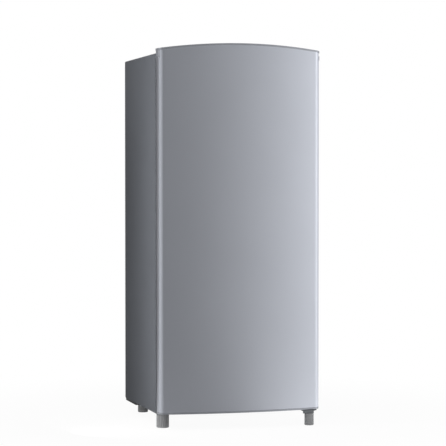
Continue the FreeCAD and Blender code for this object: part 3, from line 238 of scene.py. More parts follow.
silverLooks = {
    "silverPaint": {
        "flake": 2600.0, "dark": (0.565, 0.588, 0.648), "light": (0.637, 0.662, 0.726), "gloss": 0.4,
        "grain": 420.0, "bump": 0.04,
        "sockets": {"Metallic": 0.94, "Coat Weight": 0.1, "Coat Roughness": 0.25}},
    "capSilver": {
        "flake": 2600.0, "dark": (0.35, 0.364, 0.4), "light": (0.4, 0.416, 0.455), "gloss": 0.46,
        "grain": 1400.0, "bump": 0.15, "sockets": {"Metallic": 0.8}},
}
clearLooks = {
    "clearPlastic": {
        "colour": (0.93, 0.965, 0.975), "gloss": 0.03,
        "sockets": {"Transmission Weight": 0.95, "IOR": 1.3, "Alpha": 0.65}},
    "shelfGlass": {
        "colour": (0.88, 0.96, 0.93), "gloss": 0.02,
        "sockets": {"Transmission Weight": 0.97, "IOR": 1.4, "Alpha": 0.65}},
}
kinds = ((surface, plainLooks), (silvered, silverLooks), (seeThrough, clearLooks))
finishes = {name: make(name, look) for make, looks in kinds for name, look in looks.items()}
print("finishes made,", len(finishes))

finishOfSlot = {
    "cabinet_paint": "cabinetPaint", "zinc_sheet": "zincSheet", "black_steel": "blackEnamel",
    "hinge_steel": "hingePaint", "foam": "insulation", "liner_white": "linerWhite",
    "door_silver": "silverPaint", "cap_grey": "capGrey", "cap_silver": "capSilver",
    "gasket_grey": "sealGrey", "magnet_strip": "magnetStrip", "bush_plastic": "bushPlastic",
    "clear_plastic": "clearPlastic", "white_plastic": "whitePlastic", "button_green": "buttonGreen",
    "trim_plastic": "trimGrey", "bright_steel": "brightZinc", "foot_plastic": "footPlastic",
    "black_rubber": "blackRubber", "copper": "copper", "black_plastic": "blackPlastic",
    "cold_plate": "coldPlate", "shelf_glass": "shelfGlass", "lamp_glass": "lampGlass",
    "lamp_plastic": "lampFrost",
}


def finishOf(node, slot=None):
    return finishes[finishOfSlot[slot or slotOf[node]]]


# every node first takes its slot's finish
for nodeName, nodeObject in nodes.items():
    nodeObject.data.materials.clear()
    nodeObject.data.materials.append(finishOf(nodeName))


# mesh helpers

tiny = 1e-6  # metres; points nearer than this are one
flatTurn = 0.4  # degrees; faces that turn less than this are one


def placed(name, data):
    made = bpy.data.objects.new(name, data)
    bpy.context.scene.collection.objects.link(made)
    return made


def newPiece(name, mesh, material):
    piece = placed(name, mesh)
    mesh.materials.clear()
    mesh.materials.append(material)
    return piece


def meshOf(name, shape):
    mesh = bpy.data.meshes.new(name)
    shape.to_mesh(mesh)
    shape.free()
    return mesh


def pieceName(node):
    words = node.split("_")
    return words[0] + "".join(word.capitalize() for word in words[1:])


def settle(piece, node):
    # the piece stands for the node, and rides where it rides
    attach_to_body(piece, bodyOf[node])
    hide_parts(node)
    return piece


def attach(piece, node):
    # an added detail that rides with the node, which stays
    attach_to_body(piece, bodyOf[node])
    return piece


def bakedMesh(piece):
    # live modifiers become plain mesh
    graph = bpy.context.evaluated_depsgraph_get()
    mesh = bpy.data.meshes.new_from_object(piece.evaluated_get(graph))
    piece.modifiers.clear()
    old = piece.data
    piece.data = mesh
    bpy.data.meshes.remove(old)
    return piece


def easeEdges(piece, width, sharp=32.0, segments=2):
    ease = piece.modifiers.new("ease", "BEVEL")
    ease.width = width
    ease.segments = segments
    ease.limit_method = "ANGLE"
    ease.angle_limit = radians(sharp)
    ease.harden_normals = True


def mergedShape(node):
    shape = bmesh.new()
    shape.from_mesh(nodes[node].data)
    bmesh.ops.remove_doubles(shape, verts=shape.verts, dist=tiny)
    return shape


def dressed(node, bevel, short):
    # the node's own shape with eased edges and smooth curves; its end towards +X stops short
    shape = mergedShape(node)
    end = max(vert.co.x for vert in shape.verts) - tiny
    for vert in shape.verts:
        if vert.co.x > end:
            vert.co.x -= short
    turn = radians(flatTurn)
    bmesh.ops.dissolve_limit(shape, angle_limit=turn, verts=shape.verts, edges=shape.edges)
    mesh = meshOf(node, shape)
    mesh.shade_smooth()
    piece = newPiece(pieceName(node), mesh, finishOf(node))
    easeEdges(piece, bevel)
    bakedMesh(piece)
    return settle(piece, node)


def islandBoxes(node):
    # lowest and highest corner of each separate solid in a node, from left to right
    shape = mergedShape(node)
    waiting = set(shape.verts)
    boxes = []
    while waiting:
        found = [waiting.pop()]
        for vert in found:
            near = {edge.other_vert(vert) for edge in vert.link_edges} & waiting
            waiting -= near
            found.extend(near)
        spots = [vert.co.copy() for vert in found]
        low = Vector([min(spot[i] for spot in spots) for i in range(3)])
        high = Vector([max(spot[i] for spot in spots) for i in range(3)])
        boxes.append((low, high))
    shape.free()
    return sorted(boxes, key=lambda box: tuple(box[0]))


# geometry node trees

def startTree(name, sizes):
    tree = bpy.data.node_groups.new(name, "GeometryNodeTree")
    tree.interface.new_socket("Geometry", in_out="INPUT", socket_type="NodeSocketGeometry")
    for label, kind in sizes.items():
        tree.interface.new_socket(label, in_out="INPUT", socket_type="NodeSocket" + kind)
    tree.interface.new_socket("Finish", in_out="INPUT", socket_type="NodeSocketMaterial")
    tree.interface.new_socket("Geometry", in_out="OUTPUT", socket_type="NodeSocketGeometry")
    return tree, tree.nodes.new("NodeGroupInput").outputs


def endTree(tree, given, geometry, smooth=True):
    solid = addNode(tree, "GeometryNodeRealizeInstances", {"Geometry": geometry}).outputs[0]
    inputs = {"Geometry": solid, "Shade Smooth": smooth}
    shade = addNode(tree, "GeometryNodeSetShadeSmooth", inputs).outputs[0]
    painted = addNode(tree, "GeometryNodeSetMaterial", {"Geometry": shade, "Material": given["Finish"]})
    addNode(tree, "NodeGroupOutput", {"Geometry": painted.outputs[0]})
    return tree


def joined(tree, *parts):
    both = tree.nodes.new("GeometryNodeJoinGeometry")
    for part in reversed(parts):
        tree.links.new(part, both.inputs[0])
    return both.outputs[0]


def scaled(tree, value, gain):
    return worked(tree, "MULTIPLY", value, gain)


def triple(tree, x=0.0, y=0.0, z=0.0):
    return addNode(tree, "ShaderNodeCombineXYZ", {"X": x, "Y": y, "Z": z}).outputs[0]


def pointAttribute(tree, name, kind):
    return addNode(tree, "GeometryNodeInputNamedAttribute", {"Name": name}, data_type=kind).outputs[0]


def grown(name, tree, sizes, finish, points, edges=(), bends=None, aims=None):
    # runs a tree on a few points or lines and keeps the plain mesh that it makes
    mesh = bpy.data.meshes.new(name)
    mesh.from_pydata([Vector(point) for point in points], edges, [])
    if bends:
        mesh.attributes.new("bend", "FLOAT", "POINT").data.foreach_set("value", bends)
    if aims:
        flat = [part for aim in aims for part in aim]
        mesh.attributes.new("aim", "FLOAT_VECTOR", "POINT").data.foreach_set("vector", flat)
    piece = placed(name, mesh)
    maker = piece.modifiers.new("maker", "NODES")
    maker.node_group = tree
    wanted = {**sizes, "Finish": finish}
    for item in tree.interface.items_tree:
        if item.in_out == "INPUT" and item.name in wanted:
            maker[item.identifier] = wanted[item.name]
    return bakedMesh(piece)


def chain(count, closed=False):
    links = [(i, i + 1) for i in range(count - 1)]
    return links + [(count - 1, 0)] if closed else links


# how finely the trees' round forms are drawn
bendSteps = 10
beadSides = 16
wireSides = 8


def bentPath(tree, given):
    # the drawn line as a curve whose corners are rounded by each point's own radius
    curve = addNode(tree, "GeometryNodeMeshToCurve", {"Mesh": given["Geometry"]}).outputs[0]
    bend = pointAttribute(tree, "bend", "FLOAT")
    inputs = {"Curve": curve, "Radius": bend, "Count": bendSteps, "Limit Radius": True}
    return addNode(tree, "GeometryNodeFilletCurve", inputs, mode="POLY").outputs[0]


def swept(tree, path, outline, **more):
    inputs = {"Curve": path, "Profile Curve": outline, "Fill Caps": True, **more}
    return addNode(tree, "GeometryNodeCurveToMesh", inputs).outputs[0]


def ringOf(tree, radius, sides):
    inputs = {"Radius": radius, "Resolution": sides}
    return addNode(tree, "GeometryNodeCurvePrimitiveCircle", inputs).outputs[0]


def rodOf(tree, radius, length, sides):
    inputs = {"Vertices": sides, "Radius": radius, "Depth": length}
    return addNode(tree, "GeometryNodeMeshCylinder", inputs).outputs["Mesh"]


def makePipeTree():
    tree, given = startTree("pipeTree", {"Radius": "Float", "Sides": "Int"})
    ring = ringOf(tree, given["Radius"], given["Sides"])
    return endTree(tree, given, swept(tree, bentPath(tree, given), ring))


def makeBeadTree():
    # a raised half-round bead along a line on a flat face
    sizes = {"Width": "Float", "Height": "Float", "Facing": "Vector"}
    tree, given = startTree("beadTree", sizes)
    shape = triple(tree, given["Height"], scaled(tree, given["Width"], 0.5), 1.0)
    stretch = {"Geometry": ringOf(tree, 1.0, beadSides), "Scale": shape}
    oval = addNode(tree, "GeometryNodeTransform", stretch).outputs[0]
    aimed = {"Curve": bentPath(tree, given), "Normal": given["Facing"]}
    path = addNode(tree, "GeometryNodeSetCurveNormal", aimed, mode="FREE").outputs[0]
    return endTree(tree, given, swept(tree, path, oval))


def makeGrilleTree():
    # serpentine pipe with rows of upright wires on its two sides
    sizes = {"Radius": "Float", "Sides": "Int", "Wire Radius": "Float", "Wire Count": "Int",
             "Wire Step": "Float", "Wire Length": "Float", "Wire Offset": "Float", "First Wire": "Vector"}
    tree, given = startTree("grilleTree", sizes)
    ring = ringOf(tree, given["Radius"], given["Sides"])
    parts = [swept(tree, bentPath(tree, given), ring)]
    wire = rodOf(tree, given["Wire Radius"], given["Wire Length"], wireSides)
    for side in (-1.0, 1.0):
        shift = triple(tree, y=scaled(tree, given["Wire Offset"], side))
        begin = vectorWorked(tree, "ADD", given["First Wire"], shift)[0]
        row = {"Count": given["Wire Count"], "Start Location": begin,
               "Offset": triple(tree, given["Wire Step"])}
        line = addNode(tree, "GeometryNodeMeshLine", row).outputs[0]
        spread = {"Points": line, "Instance": wire}
        parts.append(addNode(tree, "GeometryNodeInstanceOnPoints", spread).outputs[0])
    return endTree(tree, given, joined(tree, *parts))


def setOnPoints(tree, given, shape):
    inputs = {"Vector": pointAttribute(tree, "aim", "FLOAT_VECTOR")}
    turn = addNode(tree, "FunctionNodeAlignRotationToVector", inputs, axis="Z").outputs[0]
    spread = {"Points": given["Geometry"], "Instance": shape, "Rotation": turn}
    return addNode(tree, "GeometryNodeInstanceOnPoints", spread).outputs[0]


def raised(tree, geometry, height):
    inputs = {"Geometry": geometry, "Translation": triple(tree, z=height)}
    return addNode(tree, "GeometryNodeTransform", inputs).outputs[0]


# shares of the head's radius and height
screwShape = {"crown": 0.78, "slotLong": 1.15, "slotThin": 0.24, "slotLevel": 0.85, "sides": 28}
boltShape = {"collar": 0.28, "tall": 0.72, "crown": 0.7, "wide": 0.76, "sides": 28, "corners": 6}
shankSides = 16


def startFastener(name):
    # the shank goes in against the aim
    labels = ("Head Radius", "Head Height", "Shank Radius", "Shank Length")
    tree, given = startTree(name, dict.fromkeys(labels, "Float"))
    shank = rodOf(tree, given["Shank Radius"], given["Shank Length"], shankSides)
    return tree, given, raised(tree, shank, scaled(tree, given["Shank Length"], -0.5))


def makeScrewTree():
    # pan head with a cross recess
    tree, given, shank = startFastener("screwTree")
    radius, height = given["Head Radius"], given["Head Height"]
    pan = {"Vertices": screwShape["sides"], "Radius Top": scaled(tree, radius, screwShape["crown"]),
           "Radius Bottom": radius, "Depth": height}
    head = addNode(tree, "GeometryNodeMeshCone", pan).outputs["Mesh"]
    long, thin = [scaled(tree, radius, screwShape[part]) for part in ("slotLong", "slotThin")]
    level = scaled(tree, height, screwShape["slotLevel"])
    bars = []
    for width, depth in ((long, thin), (thin, long)):
        bar = addNode(tree, "GeometryNodeMeshCube", {"Size": triple(tree, width, depth, height)})
        bars.append(raised(tree, bar.outputs["Mesh"], level))
    inputs = {"Mesh 1": head, "Mesh 2": joined(tree, *bars)}
    cut = addNode(tree, "GeometryNodeMeshBoolean", inputs, operation="DIFFERENCE", solver="EXACT")
    screw = setOnPoints(tree, given, joined(tree, cut.outputs[0], shank))
    return endTree(tree, given, screw, smooth=False)


def makeBoltTree():
    # hexagon head on a round flange
    tree, given, shank = startFastener("boltTree")
    radius, height = given["Head Radius"], given["Head Height"]
    flat = scaled(tree, height, boltShape["collar"])
    collar = raised(tree, rodOf(tree, radius, flat, boltShape["sides"]), scaled(tree, flat, 0.5))
    hexagon = {"Vertices": boltShape["corners"], "Radius Top": scaled(tree, radius, boltShape["crown"]),
               "Radius Bottom": scaled(tree, radius, boltShape["wide"]),
               "Depth": scaled(tree, height, boltShape["tall"])}
    head = raised(tree, addNode(tree, "GeometryNodeMeshCone", hexagon).outputs["Mesh"], flat)
    bolt = setOnPoints(tree, given, joined(tree, collar, head, shank))
    return endTree(tree, given, bolt, smooth=False)


ribShape = {"steps": 18, "steep": 9.0, "tip": 0.02}


def makeRibTree():
    # ribs, one at each point, that run along the point's aim and close in to round ends
    tree, given = startTree("ribTree", {"Radius": "Float", "Length": "Float", "Sides": "Int"})
    end = scaled(tree, given["Length"], 0.5)
    ends = {"Start": triple(tree, z=scaled(tree, end, -1.0)), "End": triple(tree, z=end)}
    line = addNode(tree, "GeometryNodeCurvePrimitiveLine", ends).outputs[0]
    line = addNode(tree, "GeometryNodeResampleCurve", {"Curve": line, "Count": ribShape["steps"]}).outputs[0]
    along = addNode(tree, "GeometryNodeSplineParameter").outputs["Factor"]
    far = worked(tree, "ABSOLUTE", remap(tree, along, -1.0, 1.0))
    left = worked(tree, "SUBTRACT", 1.0, worked(tree, "POWER", far, ribShape["steep"]))
    eased = worked(tree, "MAXIMUM", worked(tree, "POWER", left, 0.5), ribShape["tip"])
    rib = swept(tree, line, ringOf(tree, given["Radius"], given["Sides"]), Scale=eased)
    return endTree(tree, given, setOnPoints(tree, given, rib))


pipeTree = makePipeTree()
beadTree = makeBeadTree()
grilleTree = makeGrilleTree()
screwTree = makeScrewTree()
boltTree = makeBoltTree()
ribTree = makeRibTree()
print("node trees made")


# door sheet: bowed front, rounded corners, straight sides and a flange behind

doorSheet = {"bow": 0.0235, "corner": 0.020, "arch": 0.0175, "capLip": 0.006, "thick": 0.0008,
             "flange": 0.014, "earHeight": 0.029, "earDepth": 0.02738, "bowSteps": 72, "cornerSteps": 12,
             "roll": 0.0002, "sharp": 40.0}


def halfDoorPlan():
    # from the middle of the front round to the flange, and the place where the cap's ear begins
    low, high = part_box("door_skin")
    half = high.x
    bowRadius = (half ** 2 + doorSheet["bow"] ** 2) / (2 * doorSheet["bow"])
    centreY = low.y + bowRadius
    corner = doorSheet["corner"]
    cornerX = half - corner
    cornerY = centreY - sqrt((bowRadius - corner) ** 2 - cornerX ** 2)
    meet = atan2(cornerX, centreY - cornerY)
    earTurn = acos((cornerY - high.y + doorSheet["earDepth"]) / corner)
    bowTurns = [meet * i / doorSheet["bowSteps"] for i in range(doorSheet["bowSteps"])]
    steps = doorSheet["cornerSteps"]
    cornerTurns = sorted([meet + (pi / 2 - meet) * i / steps for i in range(steps + 1)] + [earTurn])
    plan = [(bowRadius * sin(turn), centreY - bowRadius * cos(turn)) for turn in bowTurns]
    earIndex = len(plan) + cornerTurns.index(earTurn)
    plan += [(cornerX + corner * sin(turn), cornerY - corner * cos(turn)) for turn in cornerTurns]
    plan += [(half, high.y), (half - doorSheet["flange"], high.y)]
    return plan, earIndex


def makeDoorSheet():
    low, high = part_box("door_skin")
    half = high.x
    archRadius = (half ** 2 + doorSheet["arch"] ** 2) / (2 * doorSheet["arch"])
    archCentre = high.z - archRadius
    earBottom = high.z + doorSheet["capLip"] - doorSheet["arch"] - doorSheet["earHeight"]
    right, earIndex = halfDoorPlan()
    plan = [(-x, y) for x, y in reversed(right[1:])] + right
    middle = len(right) - 1
    shape = bmesh.new()
    rows = [[shape.verts.new((x, y, z)) for x, y in plan] for z in (low.z, earBottom)]
    tops = {i: shape.verts.new((x, y, archCentre + sqrt(archRadius ** 2 - x ** 2)))
            for i, (x, y) in enumerate(plan) if abs(i - middle) <= earIndex}
    for i in range(len(plan) - 1):
        shape.faces.new((rows[0][i], rows[0][i + 1], rows[1][i + 1], rows[1][i]))
        if i in tops and i + 1 in tops:
            shape.faces.new((rows[1][i], rows[1][i + 1], tops[i + 1], tops[i]))
    mesh = meshOf("doorSheet", shape)
    mesh.shade_smooth()
    piece = newPiece("doorSheet", mesh, finishes["silverPaint"])
    wall = piece.modifiers.new("wall", "SOLIDIFY")
    wall.thickness = doorSheet["thick"]
    wall.offset = -1.0
    wall.use_even_offset = True
    easeEdges(piece, doorSheet["roll"], doorSheet["sharp"])
    return settle(bakedMesh(piece), "door_skin")


makeDoorSheet()
print("door sheet made")


# seal: bellows between the door and the cabinet, mitred and welded at its corners

# a turn of the folds has an inset, and a level in fifths of the depth past the lip
seal = {"width": 0.015, "lip": 0.0012, "waist": 0.0030, "fold": 0.0012, "face": 0.0022, "round": 0.0012,
        "turns": (("waist", 0.7), ("fold", 1.6), ("waist", 2.5), ("face", 3.2)), "levels": 5,
        "ease": 0.0003, "sharp": 20.0}


def sealOutline(depth):
    # across the width and away from the door, one half; the other half mirrors it
    edge = seal["width"] / 2
    step = (depth - seal["lip"]) / seal["levels"]
    face = edge - seal["face"]
    side = [(edge, 0.0), (edge, seal["lip"])]
    side += [(edge - seal[inset], seal["lip"] + step * level) for inset, level in seal["turns"]]
    side += [(face, depth - seal["round"]), (face - seal["round"], depth)]
    return side + [(-across, out) for across, out in reversed(side)]


def makeSeal():
    low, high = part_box("door_gasket")
    half = seal["width"] / 2
    outline = sealOutline(high.y - low.y)
    centreX = high.x - half
    zs = (low.z + half, high.z - half)
    corners = [(-1, 0), (1, 0), (1, 1), (-1, 1)]
    shape = bmesh.new()
    rings = []
    for across, out in outline:
        ring = []
        for side, level in corners:
            z = zs[level] + (across if level else -across)
            ring.append(shape.verts.new((side * (centreX + across), low.y + out, z)))
        rings.append(ring)
    count = len(rings)
    for i in range(count):
        near, far = rings[i], rings[(i + 1) % count]
        for k in range(4):
            shape.faces.new((near[k], near[(k + 1) % 4], far[(k + 1) % 4], far[k]))
    bmesh.ops.recalc_face_normals(shape, faces=shape.faces)
    piece = newPiece("doorSeal", meshOf("doorSeal", shape), finishes["sealGrey"])
    easeEdges(piece, seal["ease"], seal["sharp"])
    return settle(bakedMesh(piece), "door_gasket")


makeSeal()
print("seal made")


# nodes that keep their own shape, with eased edges; widths in metres

easedEdges = {
    "cabinet_wrap": 0.0005, "bottom_pan": 0.0003, "machine_shroud": 0.0003, "back_panel": 0.0002,
    "inner_liner": 0.0006, "door_liner": 0.0002, "door_top_cap": 0.0007, "door_bottom_cap": 0.0002,
    "hinge_bushes": 0.0002, "egg_tray": 0.0005, "upper_hinge_bracket": 0.0004, "upper_hinge_pin": 0.0004,
    "lower_hinge_bracket": 0.0005, "lower_hinge_pin": 0.0004, "hinge_cover": 0.00002,
    "front_left_foot": 0.0004, "foot_nut_plate": 0.0006, "front_right_foot": 0.0005, "rear_feet": 0.0005,
    "compressor_base": 0.0005, "compressor": 0.0008, "compressor_grommets": 0.0012, "terminal_box": 0.0006,
    "condenser_clips": 0.0006, "filter_drier": 0.0006, "drain_tube": 0.0003, "drain_pan": 0.0004,
    "cord_gland": 0.0006, "evaporator_box": 0.0003, "evaporator_hangers": 0.0005, "freezer_frame": 0.0005,
    "freezer_flap": 0.0005, "chiller_tray": 0.0004, "shelf_glass": 0.0006, "shelf_trims": 0.0004,
    "crisper_drawer": 0.0005, "thermostat_housing": 0.0004, "thermostat_knob": 0.0002, "defrost_button": 0.0004,
    "lamp_cover": 0.0004, "lamp_socket": 0.0006, "lamp_bulb": 0.0004, "switch_body": 0.0004,
    "switch_plunger": 0.0002, "bottle_bin": 0.0004, "middle_bin": 0.0004, "top_bin": 0.0004,
}
# the pushed button stays clear of the bottom of its well
shortEnds = {"defrost_button": 0.0001}
for nodeName, width in easedEdges.items():
    dressed(nodeName, width, shortEnds.get(nodeName, 0.0))
print("edges eased on", len(easedEdges), "nodes")


# screws and bolts, at the places of the solids that they stand for

screwSizes = {"Head Radius": 0.0045, "Head Height": 0.0025, "Shank Radius": 0.0025, "Shank Length": 0.008}
boltSizes = {"Head Radius": 0.006, "Head Height": 0.004, "Shank Radius": 0.003}
panelScrews = {
    "sizes": {"Head Radius": 0.0034, "Head Height": 0.0016, "Shank Radius": 0.0017, "Shank Length": 0.004},
    "inset": 0.010, "perSide": 6, "perEnd": 5}


def makeFasteners():
    seats = []
    aims = []
    for low, high in islandBoxes("hinge_screws"):
        upper = low.z > cadHigh.z / 2
        middle = (low + high) / 2
        middle.z = high.z - screwSizes["Head Height"] if upper else low.z + screwSizes["Head Height"]
        seats.append(middle)
        aims.append((0, 0, 1 if upper else -1))
    screws = grown("hingeScrews", screwTree, screwSizes, finishes["brightZinc"], seats, aims=aims)
    settle(screws, "hinge_screws")
    boxes = islandBoxes("compressor_bolts")
    seats = [Vector(((low.x + high.x) / 2, (low.y + high.y) / 2, high.z - boltSizes["Head Height"]))
             for low, high in boxes]
    low, high = boxes[0]
    sizes = {**boltSizes, "Shank Length": high.z - low.z - boltSizes["Head Height"]}
    aims = [(0, 0, 1)] * len(seats)
    bolts = grown("compressorBolts", boltTree, sizes, finishes["brightZinc"], seats, aims=aims)
    settle(bolts, "compressor_bolts")


def makePanelScrews():
    low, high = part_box("back_panel")
    inset = panelScrews["inset"]
    xs = (low.x + inset, high.x - inset)
    zs = (low.z + inset, high.z - inset)
    count = panelScrews["perSide"]
    seats = [(x, high.y, zs[0] + (zs[1] - zs[0]) * i / (count - 1)) for x in xs for i in range(count)]
    count = panelScrews["perEnd"]
    seats += [(xs[0] + (xs[1] - xs[0]) * i / (count - 1), high.y, z) for z in zs for i in range(1, count - 1)]
    aims = [(0, 1, 0)] * len(seats)
    sizes = panelScrews["sizes"]
    screws = grown("panelScrews", screwTree, sizes, finishes["brightZinc"], seats, aims=aims)
    attach(screws, "back_panel")


makeFasteners()
makePanelScrews()
print("fasteners made")


# condenser and pipes

condenser = {"pipe": 0.0025, "pipeSides": 14, "wire": 0.00075, "wires": 23, "wireEnd": 0.014, "pitch": 0.052,
             "runs": 16, "lead": 0.030, "entryBend": 0.012, "wireMargin": 0.005, "side": 0.196,
             "entryX": 0.040}


def makeCondenser():
    low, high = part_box("condenser")
    y = (low.y + high.y) / 2
    pitch = condenser["pitch"]
    bottom = low.z + condenser["lead"]
    turn = pitch / 2 - condenser["pipe"]
    drierX = low.x + condenser["pipe"]
    points = [(condenser["entryX"], y, low.z), (condenser["entryX"], y, bottom)]
    side = 1
    for i in range(condenser["runs"]):
        x = side * condenser["side"]
        points.append((x, y, bottom + pitch * i))
        if i < condenser["runs"] - 1:
            points.append((x, y, bottom + pitch * (i + 1)))
        side = -side
    points[-1] = (drierX, y, points[-1][2])
    points.append((drierX, y, low.z))
    bends = [condenser["entryBend"]] * 2 + [turn] * (len(points) - 4) + [condenser["entryBend"]] * 2
    reach = condenser["side"] - pitch / 2 - condenser["wireMargin"]
    topRun = bottom + pitch * (condenser["runs"] - 1)
    length = topRun - bottom + 2 * condenser["wireEnd"]
    sizes = {"Radius": condenser["pipe"], "Sides": condenser["pipeSides"], "Wire Radius": condenser["wire"],
             "Wire Count": condenser["wires"], "Wire Step": 2 * reach / (condenser["wires"] - 1),
             "Wire Length": length, "Wire Offset": condenser["pipe"] + condenser["wire"],
             "First Wire": (-reach, y, (bottom + topRun) / 2)}
    links = chain(len(points))
    piece = grown("condenserGrille", grilleTree, sizes, finishes["blackEnamel"], points, links, bends)
    settle(piece, "condenser")


makeCondenser()


pipes = {"suction": 0.004, "suctionBend": 0.009, "thin": 0.0025, "thinBend": 0.012, "capillary": 0.00125,
         "capillaryBend": 0.008, "sides": 18}


def layPipe(name, radius, bend, points):
    sizes = {"Radius": radius, "Sides": pipes["sides"]}
    bends = [bend] * len(points)
    return grown(name, pipeTree, sizes, finishes["copper"], points, chain(len(points)), bends)


def makePipes():
    low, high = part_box("discharge_tube")
    x, r = (low.x + high.x) / 2, pipes["thin"]
    points = [(x, low.y, low.z + r), (x, high.y - r, low.z + r), (x, high.y - r, high.z)]
    settle(layPipe("dischargeTube", r, pipes["thinBend"], points), "discharge_tube")
    outlet = low.y
    low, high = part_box("suction_tube")
    x, r = (low.x + high.x) / 2, pipes["suction"]
    points = [(x, low.y, high.z - r), (x, high.y - r, high.z - r), (x, high.y - r, low.z + r),
              (x, outlet, low.z + r)]
    settle(layPipe("suctionTube", r, pipes["suctionBend"], points), "suction_tube")
    low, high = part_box("capillary_tube")
    x, r = (low.x + high.x) / 2, pipes["capillary"]
    points = [(x, high.y - r, high.z), (x, high.y - r, low.z + r), (x, low.y, low.z + r)]
    settle(layPipe("capillaryTube", r, pipes["capillaryBend"], points), "capillary_tube")


serviceStub = {"radius": 0.003, "bend": 0.006, "side": 0.055, "level": 0.045, "out": 0.012, "up": 0.055}


def makeServiceStub():
    # the pinched filling pipe beside the compressor's other pipes
    low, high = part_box("compressor")
    x = (low.x + high.x) / 2 + serviceStub["side"]
    y = high.y + serviceStub["out"]
    z = low.z + serviceStub["level"]
    points = [(x, (low.y + high.y) / 2, z), (x, y, z), (x, y, z + serviceStub["up"])]
    stub = layPipe("serviceStub", serviceStub["radius"], serviceStub["bend"], points)
    attach(stub, "compressor")


makePipes()
makeServiceStub()
print("condenser and pipes made")


# raised beads of pressed and moulded sheets

beads = {
    "panel": {"inset": 0.024, "bottom": 0.068, "top": 0.030, "bend": 0.030, "width": 0.012, "height": 0.0014},
    "door": {"half": 0.165, "lift": 0.037, "under": 0.016, "last": 0.060, "bend": 0.020, "width": 0.010,
             "height": 0.0014},
    "flap": {"inset": 0.020, "proud": 0.014, "bend": 0.012, "width": 0.006, "height": 0.0009},
    "freezer": {"inset": 0.030, "runs": 5, "wall": 0.0015, "bend": 0.0095, "width": 0.009, "height": 0.0022},
}
doorBins = ("bottle_bin", "middle_bin", "top_bin")


def layBead(name, node, look, facing, points, links):
    sizes = {"Width": look["width"], "Height": look["height"], "Facing": facing}
    bends = [look["bend"]] * len(points)
    attach(grown(name, beadTree, sizes, finishOf(node), points, links, bends), node)


def framePoints(x0, x1, y, z0, z1):
    return [(x0, y, z0), (x1, y, z0), (x1, y, z1), (x0, y, z1)]


def makePanelBead():
    look = beads["panel"]
    low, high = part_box("back_panel")
    x = high.x - look["inset"]
    points = framePoints(-x, x, high.y, low.z + look["bottom"], high.z - look["top"])
    layBead("panelBead", "back_panel", look, (0, 1, 0), points, chain(4, True))


def makeDoorBeads():
    # one frame above each bin, clear of the bin when it is lifted out
    look = beads["door"]
    half = look["half"]
    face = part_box("door_gasket")[0].y
    boxes = [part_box(node) for node in doorBins]
    ceilings = [low.z for low, high in boxes[1:]] + [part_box("dike_foam")[1].z - look["last"]]
    points = []
    links = []
    for (low, high), ceiling in zip(boxes, ceilings):
        start = len(points)
        points += framePoints(-half, half, face, high.z + look["lift"], ceiling - look["under"])
        links += [(start + i, start + j) for i, j in chain(4, True)]
    layBead("doorBeads", "door_liner", look, (0, 1, 0), points, links)


def makeFlapBead():
    look = beads["flap"]
    low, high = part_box("freezer_flap")
    inset = look["inset"]
    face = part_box("freezer_frame")[0].y - look["proud"]
    points = framePoints(low.x + inset, high.x - inset, face, low.z + inset, high.z - inset)
    layBead("flapBead", "freezer_flap", look, (0, -1, 0), points, chain(4, True))


def makeFreezerChannels():
    # the refrigerant's channel, blown up between the box's two rolled sheets
    look = beads["freezer"]
    low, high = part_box("evaporator_box")
    y = high.y - look["wall"]
    x = high.x - look["inset"]
    z0, z1 = low.z + look["inset"], high.z - look["inset"]
    step = (z1 - z0) / (look["runs"] - 1)
    points = []
    for i in range(look["runs"]):
        side = 1 if i % 2 else -1
        points += [(side * x, y, z0 + step * i), (-side * x, y, z0 + step * i)]
    layBead("freezerChannels", "evaporator_box", look, (0, -1, 0), points, chain(len(points)))


makePanelBead()
makeDoorBeads()
makeFlapBead()
makeFreezerChannels()
print("beads made")


# ribs and rails of the moulded pieces

ribs = {
    "crisper": {"lip": 0.009, "count": 15, "half": 0.150, "bottom": 0.024, "top": 0.030, "radius": 0.0011,
                "sides": 12},
    "bins": {"ends": 0.018, "top": 0.010, "step": 0.007, "count": 2, "radius": 0.0009, "sides": 12},
    "lamp": {"count": 13, "ends": 0.010, "edge": 0.010, "radius": 0.0009, "sides": 12},
    "knob": {"count": 40, "margin": 0.0016, "disc": 0.009, "gap": 0.0004, "radius": 0.0007, "sides": 8},
}


def setRibs(name, node, look, length, aim, points, slot=None):
    sizes = {"Radius": look["radius"], "Length": length, "Sides": look["sides"]}
    aims = [aim] * len(points)
    attach(grown(name, ribTree, sizes, finishOf(node, slot), points, aims=aims), node)


def makeCrisperRibs():
    look = ribs["crisper"]
    low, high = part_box("crisper_drawer")
    y = low.y + look["lip"]
    bottom, top = low.z + look["bottom"], high.z - look["top"]
    step = 2 * look["half"] / (look["count"] - 1)
    points = [(step * i - look["half"], y, (bottom + top) / 2) for i in range(look["count"])]
    setRibs("crisperRibs", "crisper_drawer", look, top - bottom, (0, 0, 1), points)


def makeBinRails():
    look = ribs["bins"]
    for node in doorBins:
        low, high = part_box(node)
        points = [(0, high.y, high.z - look["top"] - look["step"] * i) for i in range(look["count"])]
        length = high.x - low.x - 2 * look["ends"]
        setRibs(pieceName(node) + "Rails", node, look, length, (1, 0, 0), points, "trim_plastic")


def makeLampRibs():
    look = ribs["lamp"]
    low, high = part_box("lamp_cover")
    y0, y1 = low.y + look["edge"], high.y - look["edge"]
    step = (y1 - y0) / (look["count"] - 1)
    points = [(low.x, y0 + step * i, (low.z + high.z) / 2) for i in range(look["count"])]
    setRibs("lampRibs", "lamp_cover", look, high.z - low.z - 2 * look["ends"], (0, 0, 1), points)


